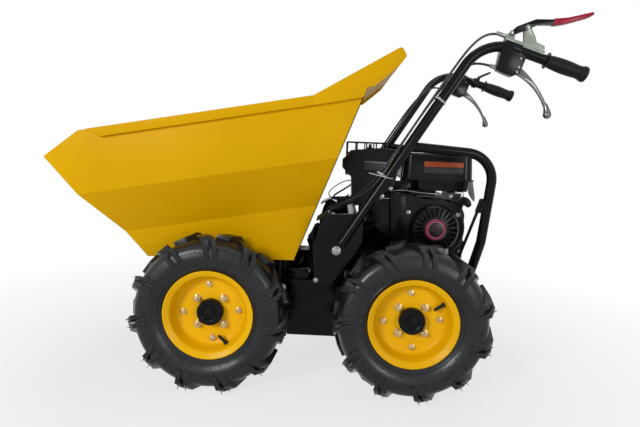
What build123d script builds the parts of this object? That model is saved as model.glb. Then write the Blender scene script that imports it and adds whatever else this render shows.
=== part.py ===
"""Walk-behind four-wheel power barrow with a forward-tipping skip.

Millimetres. +X runs back to the operator, +Z up, the left side is at -Y. The ground is Z = 0.
"""
import os
from math import atan2, cos, degrees, pi, radians, sin, sqrt, tan

from build123d import *

os.makedirs("parts", exist_ok=True)

LEFT = -1
RIGHT = 1

# ---------------------------------------------------------------- driving dimensions
# wheels
FRONT_AXLE_X = -237.5
REAR_AXLE_X = 287.5
AXLE_Z = 207.5
WHEEL_Y = 262.5            # half of the track
TYRE_R = 207.5             # over the lugs' corners
LUG_HEIGHT = 13.5
CROWN_R = TYRE_R - LUG_HEIGHT
TYRE_HALF_WIDTH = 56
LUG_HALF_WIDTH = 58.5      # the lugs stand a little proud of the sidewall
LUG_FOOT_R = 150           # how far down the sidewall a lug runs
LUG_WIDTH = 30
LUG_ANGLE = 62             # between a lug and the rolling direction
LUGS_PER_SIDE = 11
CARCASS_SECTORS = 2 * LUGS_PER_SIDE
BEAD_R = 101.5
BEAD_HALF_WIDTH = 26.5
BEAD_GAP = 0.1
FLANGE_R = 116.5
RIM_HALF_WIDTH = 37.5
BOWL_R = 80                # flat part of the disc
RIM_SHEET = 3
DISC_FACE = -5.5           # outer face of the disc, outwards from the wheel's middle plane
DISC_THICK = 5
HUB_R = 28
HUB_BOLT_FLANGE_R = 60
HUB_CAP_R = 34
SPINDLE_R = 12.5
RUNNING_GAP = 0.05
AXLE_TUBE_R = 22

# skip
SHEET = 3
FOLD_SLOPE = 10.2          # the folds and the rim climb to the rear
LOWER_HALF_WIDTH = 190
UPPER_HALF_WIDTH = 262
LOWER_FOLD = 477.9         # heights of the folds, square to the slope
UPPER_FOLD = 596.4
NOSE = (-672, 595)
FRONT_TOP = (-582, 664)
REAR_TOP = (144, 794.6)
REAR_BOTTOM = (-29, 337)
FRONT_BOTTOM = (-430, 331)
RIM_STRIP = 24
RIM_PROUD = 10
STRIP_START_X = -557
HOOD_START_X = 13
HOOD_PEAK = (223, 894)
HOOD_LIP = (236, 872)
CHEEK_TIP_R = 9
PIVOT_X = -305
PIVOT_Z = 300
PIVOT_R = 10
HINGE_LUG_Y = 139
HINGE_LUG_THICK = 8
HINGE_LUG_R = 22

# chassis
RAIL_IN = 150
RAIL_THICK = 8
RAIL_TOP = 276
RAIL_BOTTOM = 180
BELLY_BOTTOM = 116
FRONT_END = -325
REAR_END = 450
HANDLE_PLATE_IN = 243
HANDLE_PLATE_THICK = 8.5
CABLE_STOP_IN = 162        # the bent bracket that holds the cables' ends starts here
ENGINE_BED_Z = 325
LATCH_ROD_R = 6
LATCH_X = 20
LATCH_Z = 332

# engine
CRANK_X = 357
CRANK_Z = 431
CRANK = (CRANK_X, CRANK_Z)
CRANKCASE_Y = 95           # half of its depth
CRANKCASE_TOP = 508
CYLINDER_TILT = 25
TANK_BOTTOM = 535
TANK_SEAM = 567
TANK_TOP = 640
CAP_AT = (375, -10)
CAP_R = 27
NECK_HEIGHT = 4
FAN_R = 86
CYLINDER_SHROUD_IN = 62
RECOIL_R = 67
RECOIL_SLOTS = 24
BADGE_R = 29.5

# tubes and controls
TUBE_R = 12.5
BAR_Y = 264
BAR_FOOT = (85, 383)
BAR_APEX = (419, 921)
BAR_DROP = 17.6            # the hand end slopes down to the rear
BAR_BEND_R = 100
GRIP_X = 570
GRIP_LENGTH = 105
GRIP_WALL = 3.5
CABLE_R = 3
BAR_TAB = 30               # flattened foot of the bar


def along(start, angle, distance):
    """The point at a distance from start, in a direction given in degrees."""
    return (start[0] + distance * cos(radians(angle)), start[1] + distance * sin(radians(angle)))


def moved(place, *points):
    """Points given from a place, in the frame that the place is in."""
    return [(place[0] + x, place[1] + z) for x, z in points]


def sheet_between(start, end, thickness):
    """Four corners of a sheet along start-end, thick towards the left of that run."""
    run = atan2(end[1] - start[1], end[0] - start[0])
    shift = (-thickness * sin(run), thickness * cos(run))
    return [start, end, (end[0] + shift[0], end[1] + shift[1]), (start[0] + shift[0], start[1] + shift[1])]


def save(part, name):
    """Label a solid and write its file."""
    part.label = name
    export_step(part, f"parts/{name}.step")


# ---------------------------------------------------------------- wheels
# The forms are drawn about Y at the origin, for the left side, so -Y is outwards.
lug_lean = LUG_WIDTH / 2 / sin(radians(LUG_ANGLE))
lug_inner_y = -3
lug_crest_y = 38
lug_crest_x = lug_crest_y / tan(radians(LUG_ANGLE)) + lug_lean
lug_top = sqrt(TYRE_R**2 - lug_crest_x**2)
lug_inner_x = lug_inner_y / tan(radians(LUG_ANGLE))
lug_outer_x = LUG_HALF_WIDTH / tan(radians(LUG_ANGLE))
lug_pitch = 360 / LUGS_PER_SIDE
lug_phase = -degrees(atan2(lug_crest_x, lug_top))

# The carcass is a ring of flat-sided sectors, so it stays light however the tyre is used.
half_sector = pi / CARCASS_SECTORS
with BuildPart() as sector:
    with BuildSketch(Plane.XY):
        Polygon(
            (BEAD_R + BEAD_GAP, -BEAD_HALF_WIDTH + BEAD_GAP),
            (FLANGE_R + 1.5, -RIM_HALF_WIDTH + RIM_SHEET + BEAD_GAP),
            (FLANGE_R + 8, -TYRE_HALF_WIDTH + 13),
            (CROWN_R - 44, -TYRE_HALF_WIDTH),
            (CROWN_R - 24, -TYRE_HALF_WIDTH),
            (CROWN_R - 6, -TYRE_HALF_WIDTH + 12),
            (CROWN_R, -TYRE_HALF_WIDTH + 30),
            (CROWN_R, TYRE_HALF_WIDTH - 30),
            (CROWN_R - 6, TYRE_HALF_WIDTH - 12),
            (CROWN_R - 24, TYRE_HALF_WIDTH),
            (CROWN_R - 44, TYRE_HALF_WIDTH),
            (FLANGE_R + 8, TYRE_HALF_WIDTH - 13),
            (FLANGE_R + 1.5, RIM_HALF_WIDTH - RIM_SHEET - BEAD_GAP),
            (BEAD_R + BEAD_GAP, BEAD_HALF_WIDTH - BEAD_GAP),
            align=None,
        )
    extrude(amount=TYRE_R * tan(half_sector), both=True)
    with BuildSketch(Plane.XZ):
        Polygon(
            (0, 0), (TYRE_R, TYRE_R * tan(half_sector)), (TYRE_R, -TYRE_R * tan(half_sector)), align=None,
        )
    extrude(amount=TYRE_HALF_WIDTH + 1, both=True, mode=Mode.INTERSECT)

with BuildPart() as lug:
    with BuildSketch(Plane.XY):
        Polygon(
            (lug_inner_x - lug_lean, lug_inner_y), (lug_inner_x + lug_lean, lug_inner_y),
            (lug_outer_x + lug_lean, LUG_HALF_WIDTH), (lug_outer_x - lug_lean, LUG_HALF_WIDTH),
            align=None,
        )
    extrude(amount=lug_top)
    with BuildSketch(Plane.YZ):
        Polygon(
            (lug_inner_y, CROWN_R - 8), (lug_inner_y, lug_top), (lug_crest_y, lug_top),
            (LUG_HALF_WIDTH, lug_top - 18), (LUG_HALF_WIDTH, LUG_FOOT_R),
            (TYRE_HALF_WIDTH - 6, LUG_FOOT_R), align=None,
        )
    extrude(amount=4 * LUG_WIDTH, both=True, mode=Mode.INTERSECT)

lug_mirrored = mirror(lug.part, about=Plane.XZ)
with BuildPart() as tyre:
    add([Rot(0, index * 360 / CARCASS_SECTORS, 0) * sector.part for index in range(CARCASS_SECTORS)])
    add([Rot(0, lug_phase + index * lug_pitch, 0) * lug.part for index in range(LUGS_PER_SIDE)])
    add([Rot(0, lug_phase + (index + 0.5) * lug_pitch, 0) * lug_mirrored for index in range(LUGS_PER_SIDE)])

# Two pressed halves are bolted together at the disc, so each side of the rim is a rounded bowl.
disc_out = -DISC_FACE
disc_in = disc_out + DISC_THICK
inner_r = BEAD_R - 0.5 * RIM_SHEET
with BuildPart() as rim:
    with BuildSketch(Plane.XY) as rim_section:
        Polygon(
            (FLANGE_R, -RIM_HALF_WIDTH), (FLANGE_R, -RIM_HALF_WIDTH + RIM_SHEET),
            (BEAD_R, -BEAD_HALF_WIDTH), (BEAD_R - 4, disc_out), (BEAD_R - 4, disc_in),
            (BEAD_R, BEAD_HALF_WIDTH), (FLANGE_R, RIM_HALF_WIDTH - RIM_SHEET), (FLANGE_R, RIM_HALF_WIDTH),
            (FLANGE_R - RIM_SHEET, RIM_HALF_WIDTH), (inner_r, BEAD_HALF_WIDTH + RIM_SHEET),
            (BOWL_R + 10, disc_in), (HUB_R + 2.2, disc_in), (HUB_R + 2.2, disc_out),
            (BOWL_R + 10, disc_out), (inner_r, -BEAD_HALF_WIDTH - RIM_SHEET),
            (FLANGE_R - RIM_SHEET, -RIM_HALF_WIDTH), align=None,
        )
        bowl_corners = [v for v in rim_section.vertices() if BOWL_R < v.X < BEAD_R - 4.5]
        fillet(bowl_corners, radius=14)
        flange_bends = [v for v in rim_section.vertices() if abs(v.X - inner_r) < 0.01]
        fillet(flange_bends, radius=10)
    revolve(axis=Axis.Y)

hub_back = disc_in + 0.1
with BuildPart() as hub:
    with BuildSketch(Plane.XY):
        with BuildLine():
            Polyline(
                (SPINDLE_R + RUNNING_GAP, 58), (HUB_R, 58), (HUB_R, hub_back + 6),
                (HUB_BOLT_FLANGE_R, hub_back + 6), (HUB_BOLT_FLANGE_R, hub_back), (HUB_R + 2.1, hub_back),
                (HUB_R + 2.1, disc_out - 0.1), (HUB_CAP_R, disc_out - 0.1), (HUB_CAP_R, -9),
                (HUB_CAP_R - 4, -13), (0, -13), (0, -4), (SPINDLE_R + RUNNING_GAP, -4), close=True,
            )
        make_face()
    revolve(axis=Axis.Y)

FORMS = [("tyre", tyre.part), ("rim", rim.part), ("hub", hub.part)]
HANDED = {(kind, LEFT): form for kind, form in FORMS}
HANDED.update({(kind, RIGHT): mirror(form, about=Plane.XZ) for kind, form in FORMS})
WHEELS = [  # and how far round each one stands
    ("front_left", FRONT_AXLE_X, LEFT, -13),
    ("front_right", FRONT_AXLE_X, RIGHT, 0),
    ("rear_left", REAR_AXLE_X, LEFT, -7),
    ("rear_right", REAR_AXLE_X, RIGHT, 0),
]
for place, wheel_x, side, turn in WHEELS:
    for kind, form in FORMS:
        with BuildPart() as wheel_piece:
            with Locations((wheel_x, side * WHEEL_Y, AXLE_Z)):
                add(HANDED[kind, side], rotation=(0, turn, 0))
        save(wheel_piece.part, f"{kind}_{place}")

with BuildPart() as axles:
    for axle_x in (FRONT_AXLE_X, REAR_AXLE_X):
        with BuildSketch(Plane.XZ):
            with Locations((axle_x, AXLE_Z)):
                Circle(AXLE_TUBE_R)
        extrude(amount=WHEEL_Y - 64, both=True)
        with BuildSketch(Plane.XZ):
            with Locations((axle_x, AXLE_Z)):
                Circle(SPINDLE_R)
        extrude(amount=WHEEL_Y + 2, both=True)
save(axles.part, "axles")

# ---------------------------------------------------------------- skip
slope = radians(FOLD_SLOPE)
section_plane = Plane(origin=(0, 0, 0), x_dir=(0, 1, 0), z_dir=(cos(slope), 0, sin(slope)))
beyond_skip = 1.35 * abs(NOSE[0])
trough_half = [
    (LOWER_HALF_WIDTH, 0), (LOWER_HALF_WIDTH, LOWER_FOLD), (UPPER_HALF_WIDTH, UPPER_FOLD),
    (UPPER_HALF_WIDTH, beyond_skip),
]
trough = trough_half + [(-y, z) for y, z in reversed(trough_half)]

with BuildPart() as trough_outside:
    with BuildSketch(section_plane.offset(-beyond_skip)):
        Polygon(*trough, align=None)
    extrude(amount=2 * beyond_skip)

with BuildPart() as trough_inside:
    with BuildSketch(section_plane.offset(-beyond_skip)):
        Polygon(*trough, align=None)
        offset(amount=-SHEET, kind=Kind.INTERSECTION)
    extrude(amount=2 * beyond_skip)

with BuildPart() as skip_sides:
    with BuildSketch(Plane.XZ):
        Polygon(NOSE, FRONT_TOP, REAR_TOP, REAR_BOTTOM, FRONT_BOTTOM, align=None)
    extrude(amount=beyond_skip, both=True)
    add(trough_outside.part, mode=Mode.INTERSECT)
    add(trough_inside.part, mode=Mode.SUBTRACT)
save(skip_sides.part, "skip_sides")

with BuildPart() as skip_front_plate:
    with BuildSketch(Plane.XZ):
        Polygon(*sheet_between(NOSE, FRONT_BOTTOM, SHEET), align=None)
    extrude(amount=beyond_skip, both=True)
    add(trough_inside.part, mode=Mode.INTERSECT)
save(skip_front_plate.part, "skip_front_plate")

with BuildPart() as skip_rear_plate:
    with BuildSketch(Plane.XZ):
        Polygon(*sheet_between(REAR_BOTTOM, REAR_TOP, SHEET), align=None)
    extrude(amount=beyond_skip, both=True)
    add(trough_inside.part, mode=Mode.INTERSECT)
save(skip_rear_plate.part, "skip_rear_plate")

with BuildPart() as skip_floor:
    with BuildSketch(Plane.XZ):
        Polygon(*sheet_between(FRONT_BOTTOM, REAR_BOTTOM, SHEET), align=None)
    extrude(amount=beyond_skip, both=True)
    add(trough_inside.part, mode=Mode.INTERSECT)
    add(skip_front_plate.part, mode=Mode.SUBTRACT)
    add(skip_rear_plate.part, mode=Mode.SUBTRACT)
save(skip_floor.part, "skip_floor")

rim_rise = (REAR_TOP[1] - FRONT_TOP[1]) / (REAR_TOP[0] - FRONT_TOP[0])
strip_drop = RIM_STRIP / cos(slope)
strip_start = (STRIP_START_X, FRONT_TOP[1] + rim_rise * (STRIP_START_X - FRONT_TOP[0]))
hood_start = (HOOD_START_X, FRONT_TOP[1] + rim_rise * (HOOD_START_X - FRONT_TOP[0]))
hood_foot = (REAR_TOP[0] - 9, REAR_TOP[1] - strip_drop)

with BuildPart() as skip_rims:
    for side in (LEFT, RIGHT):
        with BuildSketch(Plane.XZ.offset(-side * UPPER_HALF_WIDTH)):
            Polygon(
                strip_start, hood_start, (hood_start[0], hood_start[1] - strip_drop),
                (strip_start[0] + 36, strip_start[1] + 36 * rim_rise - strip_drop), align=None,
            )
        extrude(amount=-side * RIM_PROUD)
save(skip_rims.part, "skip_rims")

with BuildPart() as skip_hood:
    for side in (LEFT, RIGHT):
        with BuildSketch(Plane.XZ.offset(-side * UPPER_HALF_WIDTH)) as cheek:
            Polygon(
                hood_start, HOOD_PEAK, HOOD_LIP, (219, 848), (199, 830), (160, 797), REAR_TOP,
                hood_foot, (hood_start[0], hood_start[1] - strip_drop), align=None,
            )
            fillet([v for v in cheek.vertices() if v.X > HOOD_PEAK[0] - 1], radius=CHEEK_TIP_R)
        extrude(amount=-side * RIM_PROUD)
    with BuildSketch(Plane.XZ):
        Polygon(*sheet_between(REAR_TOP, HOOD_LIP, SHEET), align=None)
    extrude(amount=UPPER_HALF_WIDTH + 1, both=True)
save(skip_hood.part, "skip_hood")

floor_under_pivot = FRONT_BOTTOM[1] + (REAR_BOTTOM[1] - FRONT_BOTTOM[1]) * (PIVOT_X - FRONT_BOTTOM[0]) / (
    REAR_BOTTOM[0] - FRONT_BOTTOM[0]
)
with BuildPart() as skip_brackets:
    for side in (LEFT, RIGHT):
        with BuildSketch(Plane.XZ.offset(-side * HINGE_LUG_Y)):
            with BuildLine():
                Polyline(
                    (PIVOT_X - HINGE_LUG_R, PIVOT_Z), (PIVOT_X - 55, floor_under_pivot + 1),
                    (PIVOT_X + 90, floor_under_pivot + 1), (PIVOT_X + HINGE_LUG_R, PIVOT_Z),
                )
                ThreePointArc(
                    (PIVOT_X + HINGE_LUG_R, PIVOT_Z), (PIVOT_X, PIVOT_Z - HINGE_LUG_R),
                    (PIVOT_X - HINGE_LUG_R, PIVOT_Z),
                )
            make_face()
            with Locations((PIVOT_X, PIVOT_Z)):
                Circle(PIVOT_R + RUNNING_GAP, mode=Mode.SUBTRACT)
        extrude(amount=HINGE_LUG_THICK / 2, both=True)
    add(skip_floor.part, mode=Mode.SUBTRACT)
save(skip_brackets.part, "skip_brackets")

# ---------------------------------------------------------------- chassis
rail_out = RAIL_IN + RAIL_THICK
with BuildPart() as skip_pivot_pin:
    with BuildSketch(Plane.XZ):
        with Locations((PIVOT_X, PIVOT_Z)):
            Circle(PIVOT_R)
    extrude(amount=rail_out + 6, both=True)
save(skip_pivot_pin.part, "skip_pivot_pin")

with BuildPart() as chassis_frame:
    for side in (LEFT, RIGHT):
        with BuildSketch(Plane.XZ.offset(-side * RAIL_IN)):
            with BuildLine():
                Polyline(
                    (PIVOT_X - 20, PIVOT_Z), (FRONT_END, RAIL_BOTTOM + 30), (FRONT_END + 30, RAIL_BOTTOM),
                    (-64, RAIL_BOTTOM), (-44, BELLY_BOTTOM), (93, BELLY_BOTTOM), (113, RAIL_BOTTOM),
                    (REAR_END, RAIL_BOTTOM), (REAR_END, RAIL_TOP), (PIVOT_X + 55, RAIL_TOP),
                    (PIVOT_X + 20, PIVOT_Z),
                )
                ThreePointArc((PIVOT_X + 20, PIVOT_Z), (PIVOT_X, PIVOT_Z + 20), (PIVOT_X - 20, PIVOT_Z))
            make_face()
            with Locations((PIVOT_X, PIVOT_Z)):
                Circle(PIVOT_R, mode=Mode.SUBTRACT)
            with Locations((FRONT_AXLE_X, AXLE_Z), (REAR_AXLE_X, AXLE_Z)):
                Circle(AXLE_TUBE_R, mode=Mode.SUBTRACT)
        extrude(amount=-side * RAIL_THICK)
    for cross_x in (FRONT_AXLE_X - 62, -60, LATCH_X, 130, REAR_END - 30):
        with BuildSketch(Plane.XZ):
            with Locations((cross_x, RAIL_TOP - 41)):
                Rectangle(30, 30)
        extrude(amount=RAIL_IN, both=True)
    for ear_y in (-50, 50):
        with BuildSketch(Plane.XZ.offset(ear_y)):
            with Locations((LATCH_X, 290)):
                Rectangle(40, 110)
            with Locations((LATCH_X, LATCH_Z)):
                Circle(LATCH_ROD_R, mode=Mode.SUBTRACT)
        extrude(amount=3, both=True)
    with BuildSketch(Plane.XY.offset(BELLY_BOTTOM)):
        with Locations((24.5, 0)):
            Rectangle(137, 2 * RAIL_IN)
    extrude(amount=5)
    with BuildSketch(Plane.XY.offset(ENGINE_BED_Z - 8)):
        with Locations((CRANK_X - 9, 0)):
            Rectangle(226, 216)
    extrude(amount=8)
    for riser_y in (-88, 88):
        with BuildSketch(Plane.XY.offset(RAIL_TOP - 26)):
            with Locations((CRANK_X - 9, riser_y)):
                Rectangle(226, 40)
        extrude(amount=ENGINE_BED_Z - RAIL_TOP + 26)
    for riser_x in (CRANK_X - 114, CRANK_X + 85):
        with BuildSketch(Plane.XY.offset(RAIL_TOP - 26)):
            with Locations((riser_x, 0)):
                Rectangle(20, 2 * RAIL_IN)
        extrude(amount=20)
save(chassis_frame.part, "chassis_frame")

handle_plate_out = HANDLE_PLATE_IN + HANDLE_PLATE_THICK
LEDGE_Z = 291
with BuildPart() as handle_plates:
    for side in (LEFT, RIGHT):
        with BuildSketch(Plane.XZ.offset(-side * HANDLE_PLATE_IN)):
            with BuildLine():
                FilletPolyline(
                    (80, LEDGE_Z + 6), (99, 325), (128, 368), (150, 405), (150, 480), (60, 474),
                    (48, 462), (36, 433), (26, 389), (25, 353), (31, LEDGE_Z + 6), radius=4,
                )
                Line((31, LEDGE_Z + 6), (80, LEDGE_Z + 6))
            make_face()
        extrude(amount=-side * HANDLE_PLATE_THICK)
        with BuildSketch(Plane.XY.offset(LEDGE_Z)):
            with Locations((53, side * (RAIL_IN + handle_plate_out) / 2)):
                Rectangle(50, handle_plate_out - RAIL_IN)
        extrude(amount=6)
        with BuildSketch(Plane.XY.offset(RAIL_TOP)):
            with Locations((53, side * (RAIL_IN + RAIL_THICK / 2))):
                Rectangle(50, RAIL_THICK)
        extrude(amount=LEDGE_Z - RAIL_TOP)
        with BuildSketch(Plane.XZ.offset(-side * CABLE_STOP_IN)):
            Polygon((30, 459), (62, 475), (84, 464), (85, 461), (62, 471), (31, 455), align=None)
        extrude(amount=-side * (HANDLE_PLATE_IN - CABLE_STOP_IN + 1))
    with BuildSketch(Plane.XZ):
        with Locations((128, 452)):
            Rectangle(24, 30)
    extrude(amount=HANDLE_PLATE_IN, both=True)
save(handle_plates.part, "handle_plates")

with BuildPart() as transmission:
    with BuildSketch(Plane.XY.offset(150)):
        with Locations((24, 0)):
            Rectangle(100, 200)
    extrude(amount=RAIL_TOP - 56 - 150)
    fillet(transmission.edges().filter_by(Axis.Z), 20)
save(transmission.part, "transmission")

with BuildPart() as skip_buffers:
    with BuildSketch(Plane.XY.offset(RAIL_TOP - 26)):
        with Locations((-60, -110), (-60, 110)):
            Circle(16)
    extrude(amount=86.2)
save(skip_buffers.part, "skip_buffers")

with BuildPart() as skip_latch:
    with BuildSketch(Plane.XZ.offset(61)):
        with BuildLine():
            FilletPolyline(
                (LATCH_X - 14, LATCH_Z - 10), (LATCH_X + 12, LATCH_Z - 10), (LATCH_X + 14, 400), (33, 426),
                (20, 420), (8, 392), (LATCH_X - 22, 372), (LATCH_X - 14, LATCH_Z + 20), radius=4,
            )
            Line((LATCH_X - 14, LATCH_Z + 20), (LATCH_X - 14, LATCH_Z - 10))
        make_face()
    extrude(amount=-8)
    with BuildSketch(Plane.XZ.offset(-62)):
        with Locations((LATCH_X, LATCH_Z)):
            Circle(LATCH_ROD_R)
    extrude(amount=124)
save(skip_latch.part, "skip_latch")

# ---------------------------------------------------------------- engine
tilt = radians(CYLINDER_TILT)
cylinder_plane = Plane(origin=(CRANK_X, 0, CRANK_Z), x_dir=(0, 1, 0), z_dir=(-cos(tilt), 0, sin(tilt)))
FINS = 6
FIN_START = 96
FIN_PITCH = 10
with BuildPart() as engine_block:
    with BuildSketch(Plane.XZ):
        with BuildLine():
            FilletPolyline(
                (352, ENGINE_BED_Z), (268, ENGINE_BED_Z), (268, 400), (285, CRANKCASE_TOP),
                (430, CRANKCASE_TOP), (446, 470), (446, ENGINE_BED_Z), (360, ENGINE_BED_Z), radius=8,
            )
            Line((360, ENGINE_BED_Z), (352, ENGINE_BED_Z))
        make_face()
    extrude(amount=CRANKCASE_Y, both=True)
    with BuildSketch(cylinder_plane.offset(60)):
        Rectangle(96, 88)
    extrude(amount=110)
    for fin in range(FINS):
        with BuildSketch(cylinder_plane.offset(FIN_START + fin * FIN_PITCH)):
            RectangleRounded(132, 116, 12)
        extrude(amount=3)
    with BuildSketch(cylinder_plane.offset(170)):
        RectangleRounded(90, 84, 10)
    extrude(amount=16)
    for stay_x, stay_depth in ((326, 74), (412, 14)):
        with BuildSketch(Plane.XY.offset(CRANKCASE_TOP)):
            with Locations((stay_x, -20)):
                Rectangle(stay_depth, 120)
        extrude(amount=TANK_BOTTOM - CRANKCASE_TOP)
save(engine_block.part, "engine_block")

with BuildPart() as air_cleaner:
    with BuildSketch(Plane.XZ.offset(-12)):
        with BuildLine():
            FilletPolyline(
                (240, 540), (252, 600), (249, 645), (201, 649), (118, 640), (108, 626), (94, 612),
                (94, 590), (121, 563), (124, 510), (135, 484), (180, 500), radius=4,
            )
            Line((180, 500), (240, 540))
        make_face()
    extrude(amount=122)
    with BuildSketch(Plane.XY.offset(480)):
        with Locations((215, -60)):
            Rectangle(36, 36)
    extrude(amount=70)
    add(engine_block.part, mode=Mode.SUBTRACT)
save(air_cleaner.part, "air_cleaner")

with BuildPart() as fan_cover:
    with BuildSketch(Plane.XZ.offset(CRANKCASE_Y)):
        Polygon(
            *moved(CRANK, (-121, -43), (-129, 95), (-81, 95), (-27, 83), (0, FAN_R), (0, 0), (-57, -79)),
            align=None,
        )
        with Locations((CRANK_X, CRANK_Z)):
            Circle(FAN_R)
        Polygon(*moved(CRANK, (23, 39), (67, 37), (79, 68), (53, 81), (31, 74)), align=None)
    extrude(amount=28)
    fillet(fan_cover.faces().sort_by(Axis.Y)[0].edges(), 6)
    with BuildSketch(Plane.XZ.offset(CYLINDER_SHROUD_IN)):
        Polygon((300, 526), (190, 520), (176, 486), (196, 424), (240, 384), (300, 384), align=None)
    extrude(amount=CRANKCASE_Y - CYLINDER_SHROUD_IN)
    with BuildSketch(Plane.XZ.offset(CRANKCASE_Y + 20)):
        with BuildLine():
            FilletPolyline((240, 400), (238, 518), (268, 518), (272, 400), radius=6)
            Line((272, 400), (240, 400))
        make_face()
    extrude(amount=16)
    add(engine_block.part, mode=Mode.SUBTRACT)
    add(air_cleaner.part, mode=Mode.SUBTRACT)
save(fan_cover.part, "fan_cover")

with BuildPart() as carburettor:
    with BuildSketch(Plane.XY.offset(448)):
        with Locations((166, -64)):
            Circle(21)
    extrude(amount=38)
    chamfer(carburettor.edges().sort_by(Axis.Z)[0], 6)
    with BuildSketch(Plane.XY.offset(484)):
        with Locations((172, -60)):
            RectangleRounded(58, 46, 8)
    extrude(amount=30)
    for neighbour in (air_cleaner, fan_cover, engine_block):
        add(neighbour.part, mode=Mode.SUBTRACT)
save(carburettor.part, "carburettor")

recoil_back = -CRANKCASE_Y - 28
recoil_plane = Plane(origin=(CRANK_X, 0, CRANK_Z), x_dir=(1, 0, 0), z_dir=(0, 0, 1))
with BuildPart() as recoil_starter:
    with BuildSketch(recoil_plane):
        with BuildLine():
            Polyline(
                (0, recoil_back - 24), (BADGE_R + 3, recoil_back - 24), (RECOIL_R - 6, recoil_back - 20),
                (RECOIL_R, recoil_back - 12), (RECOIL_R, recoil_back), (RECOIL_R - 3, recoil_back),
                (RECOIL_R - 3, recoil_back - 11), (RECOIL_R - 8, recoil_back - 17),
                (BADGE_R + 3, recoil_back - 21), (0, recoil_back - 21), close=True,
            )
        make_face()
    revolve(axis=Axis((CRANK_X, 0, CRANK_Z), (0, 1, 0)))
    with BuildSketch(Plane.XZ.offset(-recoil_back + 30)):
        with Locations((CRANK_X, CRANK_Z)):
            with PolarLocations((BADGE_R + RECOIL_R - 2) / 2 + 1, RECOIL_SLOTS):
                Rectangle(RECOIL_R - BADGE_R - 14, 5.5)
    extrude(amount=-18, mode=Mode.SUBTRACT)
save(recoil_starter.part, "recoil_starter")

with BuildPart() as recoil_badge:
    with BuildSketch(Plane.XZ.offset(-recoil_back + 24)):
        with Locations((CRANK_X, CRANK_Z)):
            Circle(BADGE_R)
    extrude(amount=3)
    chamfer(recoil_badge.faces().sort_by(Axis.Y)[0].edges(), 1.5)
save(recoil_badge.part, "recoil_badge")

with BuildPart() as starter_grip:
    with BuildSketch(Plane.XZ.offset(-recoil_back)):
        with BuildLine():
            Polyline(*moved(CRANK, (53, 81), (55, 88), (75, 93)))
            ThreePointArc(*moved(CRANK, (75, 93), (91, 84), (95, 69)))
            Polyline(*moved(CRANK, (95, 69), (87, 63), (73, 71), (53, 75), (53, 81)))
        make_face()
    extrude(amount=16)
save(starter_grip.part, "starter_grip")

with BuildPart() as fuel_tank:
    with BuildSketch(Plane.XY.offset(TANK_SEAM)):
        with Locations((363, -24)):
            RectangleRounded(196, 180, 26)
    extrude(amount=TANK_TOP - TANK_SEAM, taper=3.5)
    fillet(fuel_tank.faces().sort_by(Axis.Z)[-1].edges(), (TANK_TOP - TANK_SEAM) / 7)
    with BuildSketch(Plane.XY.offset(TANK_SEAM)):
        with Locations((376, -24)):
            RectangleRounded(160, 176, 22)
    extrude(amount=TANK_BOTTOM - TANK_SEAM, taper=12)
    with BuildSketch(Plane.XY.offset(TANK_SEAM - 2)):
        with Locations((363, -24)):
            RectangleRounded(206, 190, 30)
    extrude(amount=4)
    with BuildSketch(Plane.XY.offset(TANK_TOP - 1)):
        with Locations(CAP_AT):
            Circle(CAP_R - 4)
    extrude(amount=NECK_HEIGHT + 1)
save(fuel_tank.part, "fuel_tank")

with BuildPart() as fuel_cap:
    with BuildSketch(Plane.XY.offset(TANK_TOP + NECK_HEIGHT)):
        with Locations(CAP_AT):
            Circle(CAP_R)
            with PolarLocations(CAP_R + 2, 8):
                Circle(6, mode=Mode.SUBTRACT)
    extrude(amount=14)
    chamfer(fuel_cap.faces().sort_by(Axis.Z)[-1].edges(), 1.5)
save(fuel_cap.part, "fuel_cap")

MUFFLER_NEAR = 34
MUFFLER_FAR = 112
with BuildPart() as muffler:
    with BuildSketch(Plane.XZ.offset(-MUFFLER_NEAR)):
        with Locations((165, 606)):
            RectangleRounded(92, 74, 22)
    extrude(amount=MUFFLER_NEAR - MUFFLER_FAR)
    with BuildSketch(Plane.XY.offset(500)):
        with Locations((198, 52)):
            Circle(14)
    extrude(amount=90)
    add(engine_block.part, mode=Mode.SUBTRACT)
save(muffler.part, "muffler")

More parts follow.
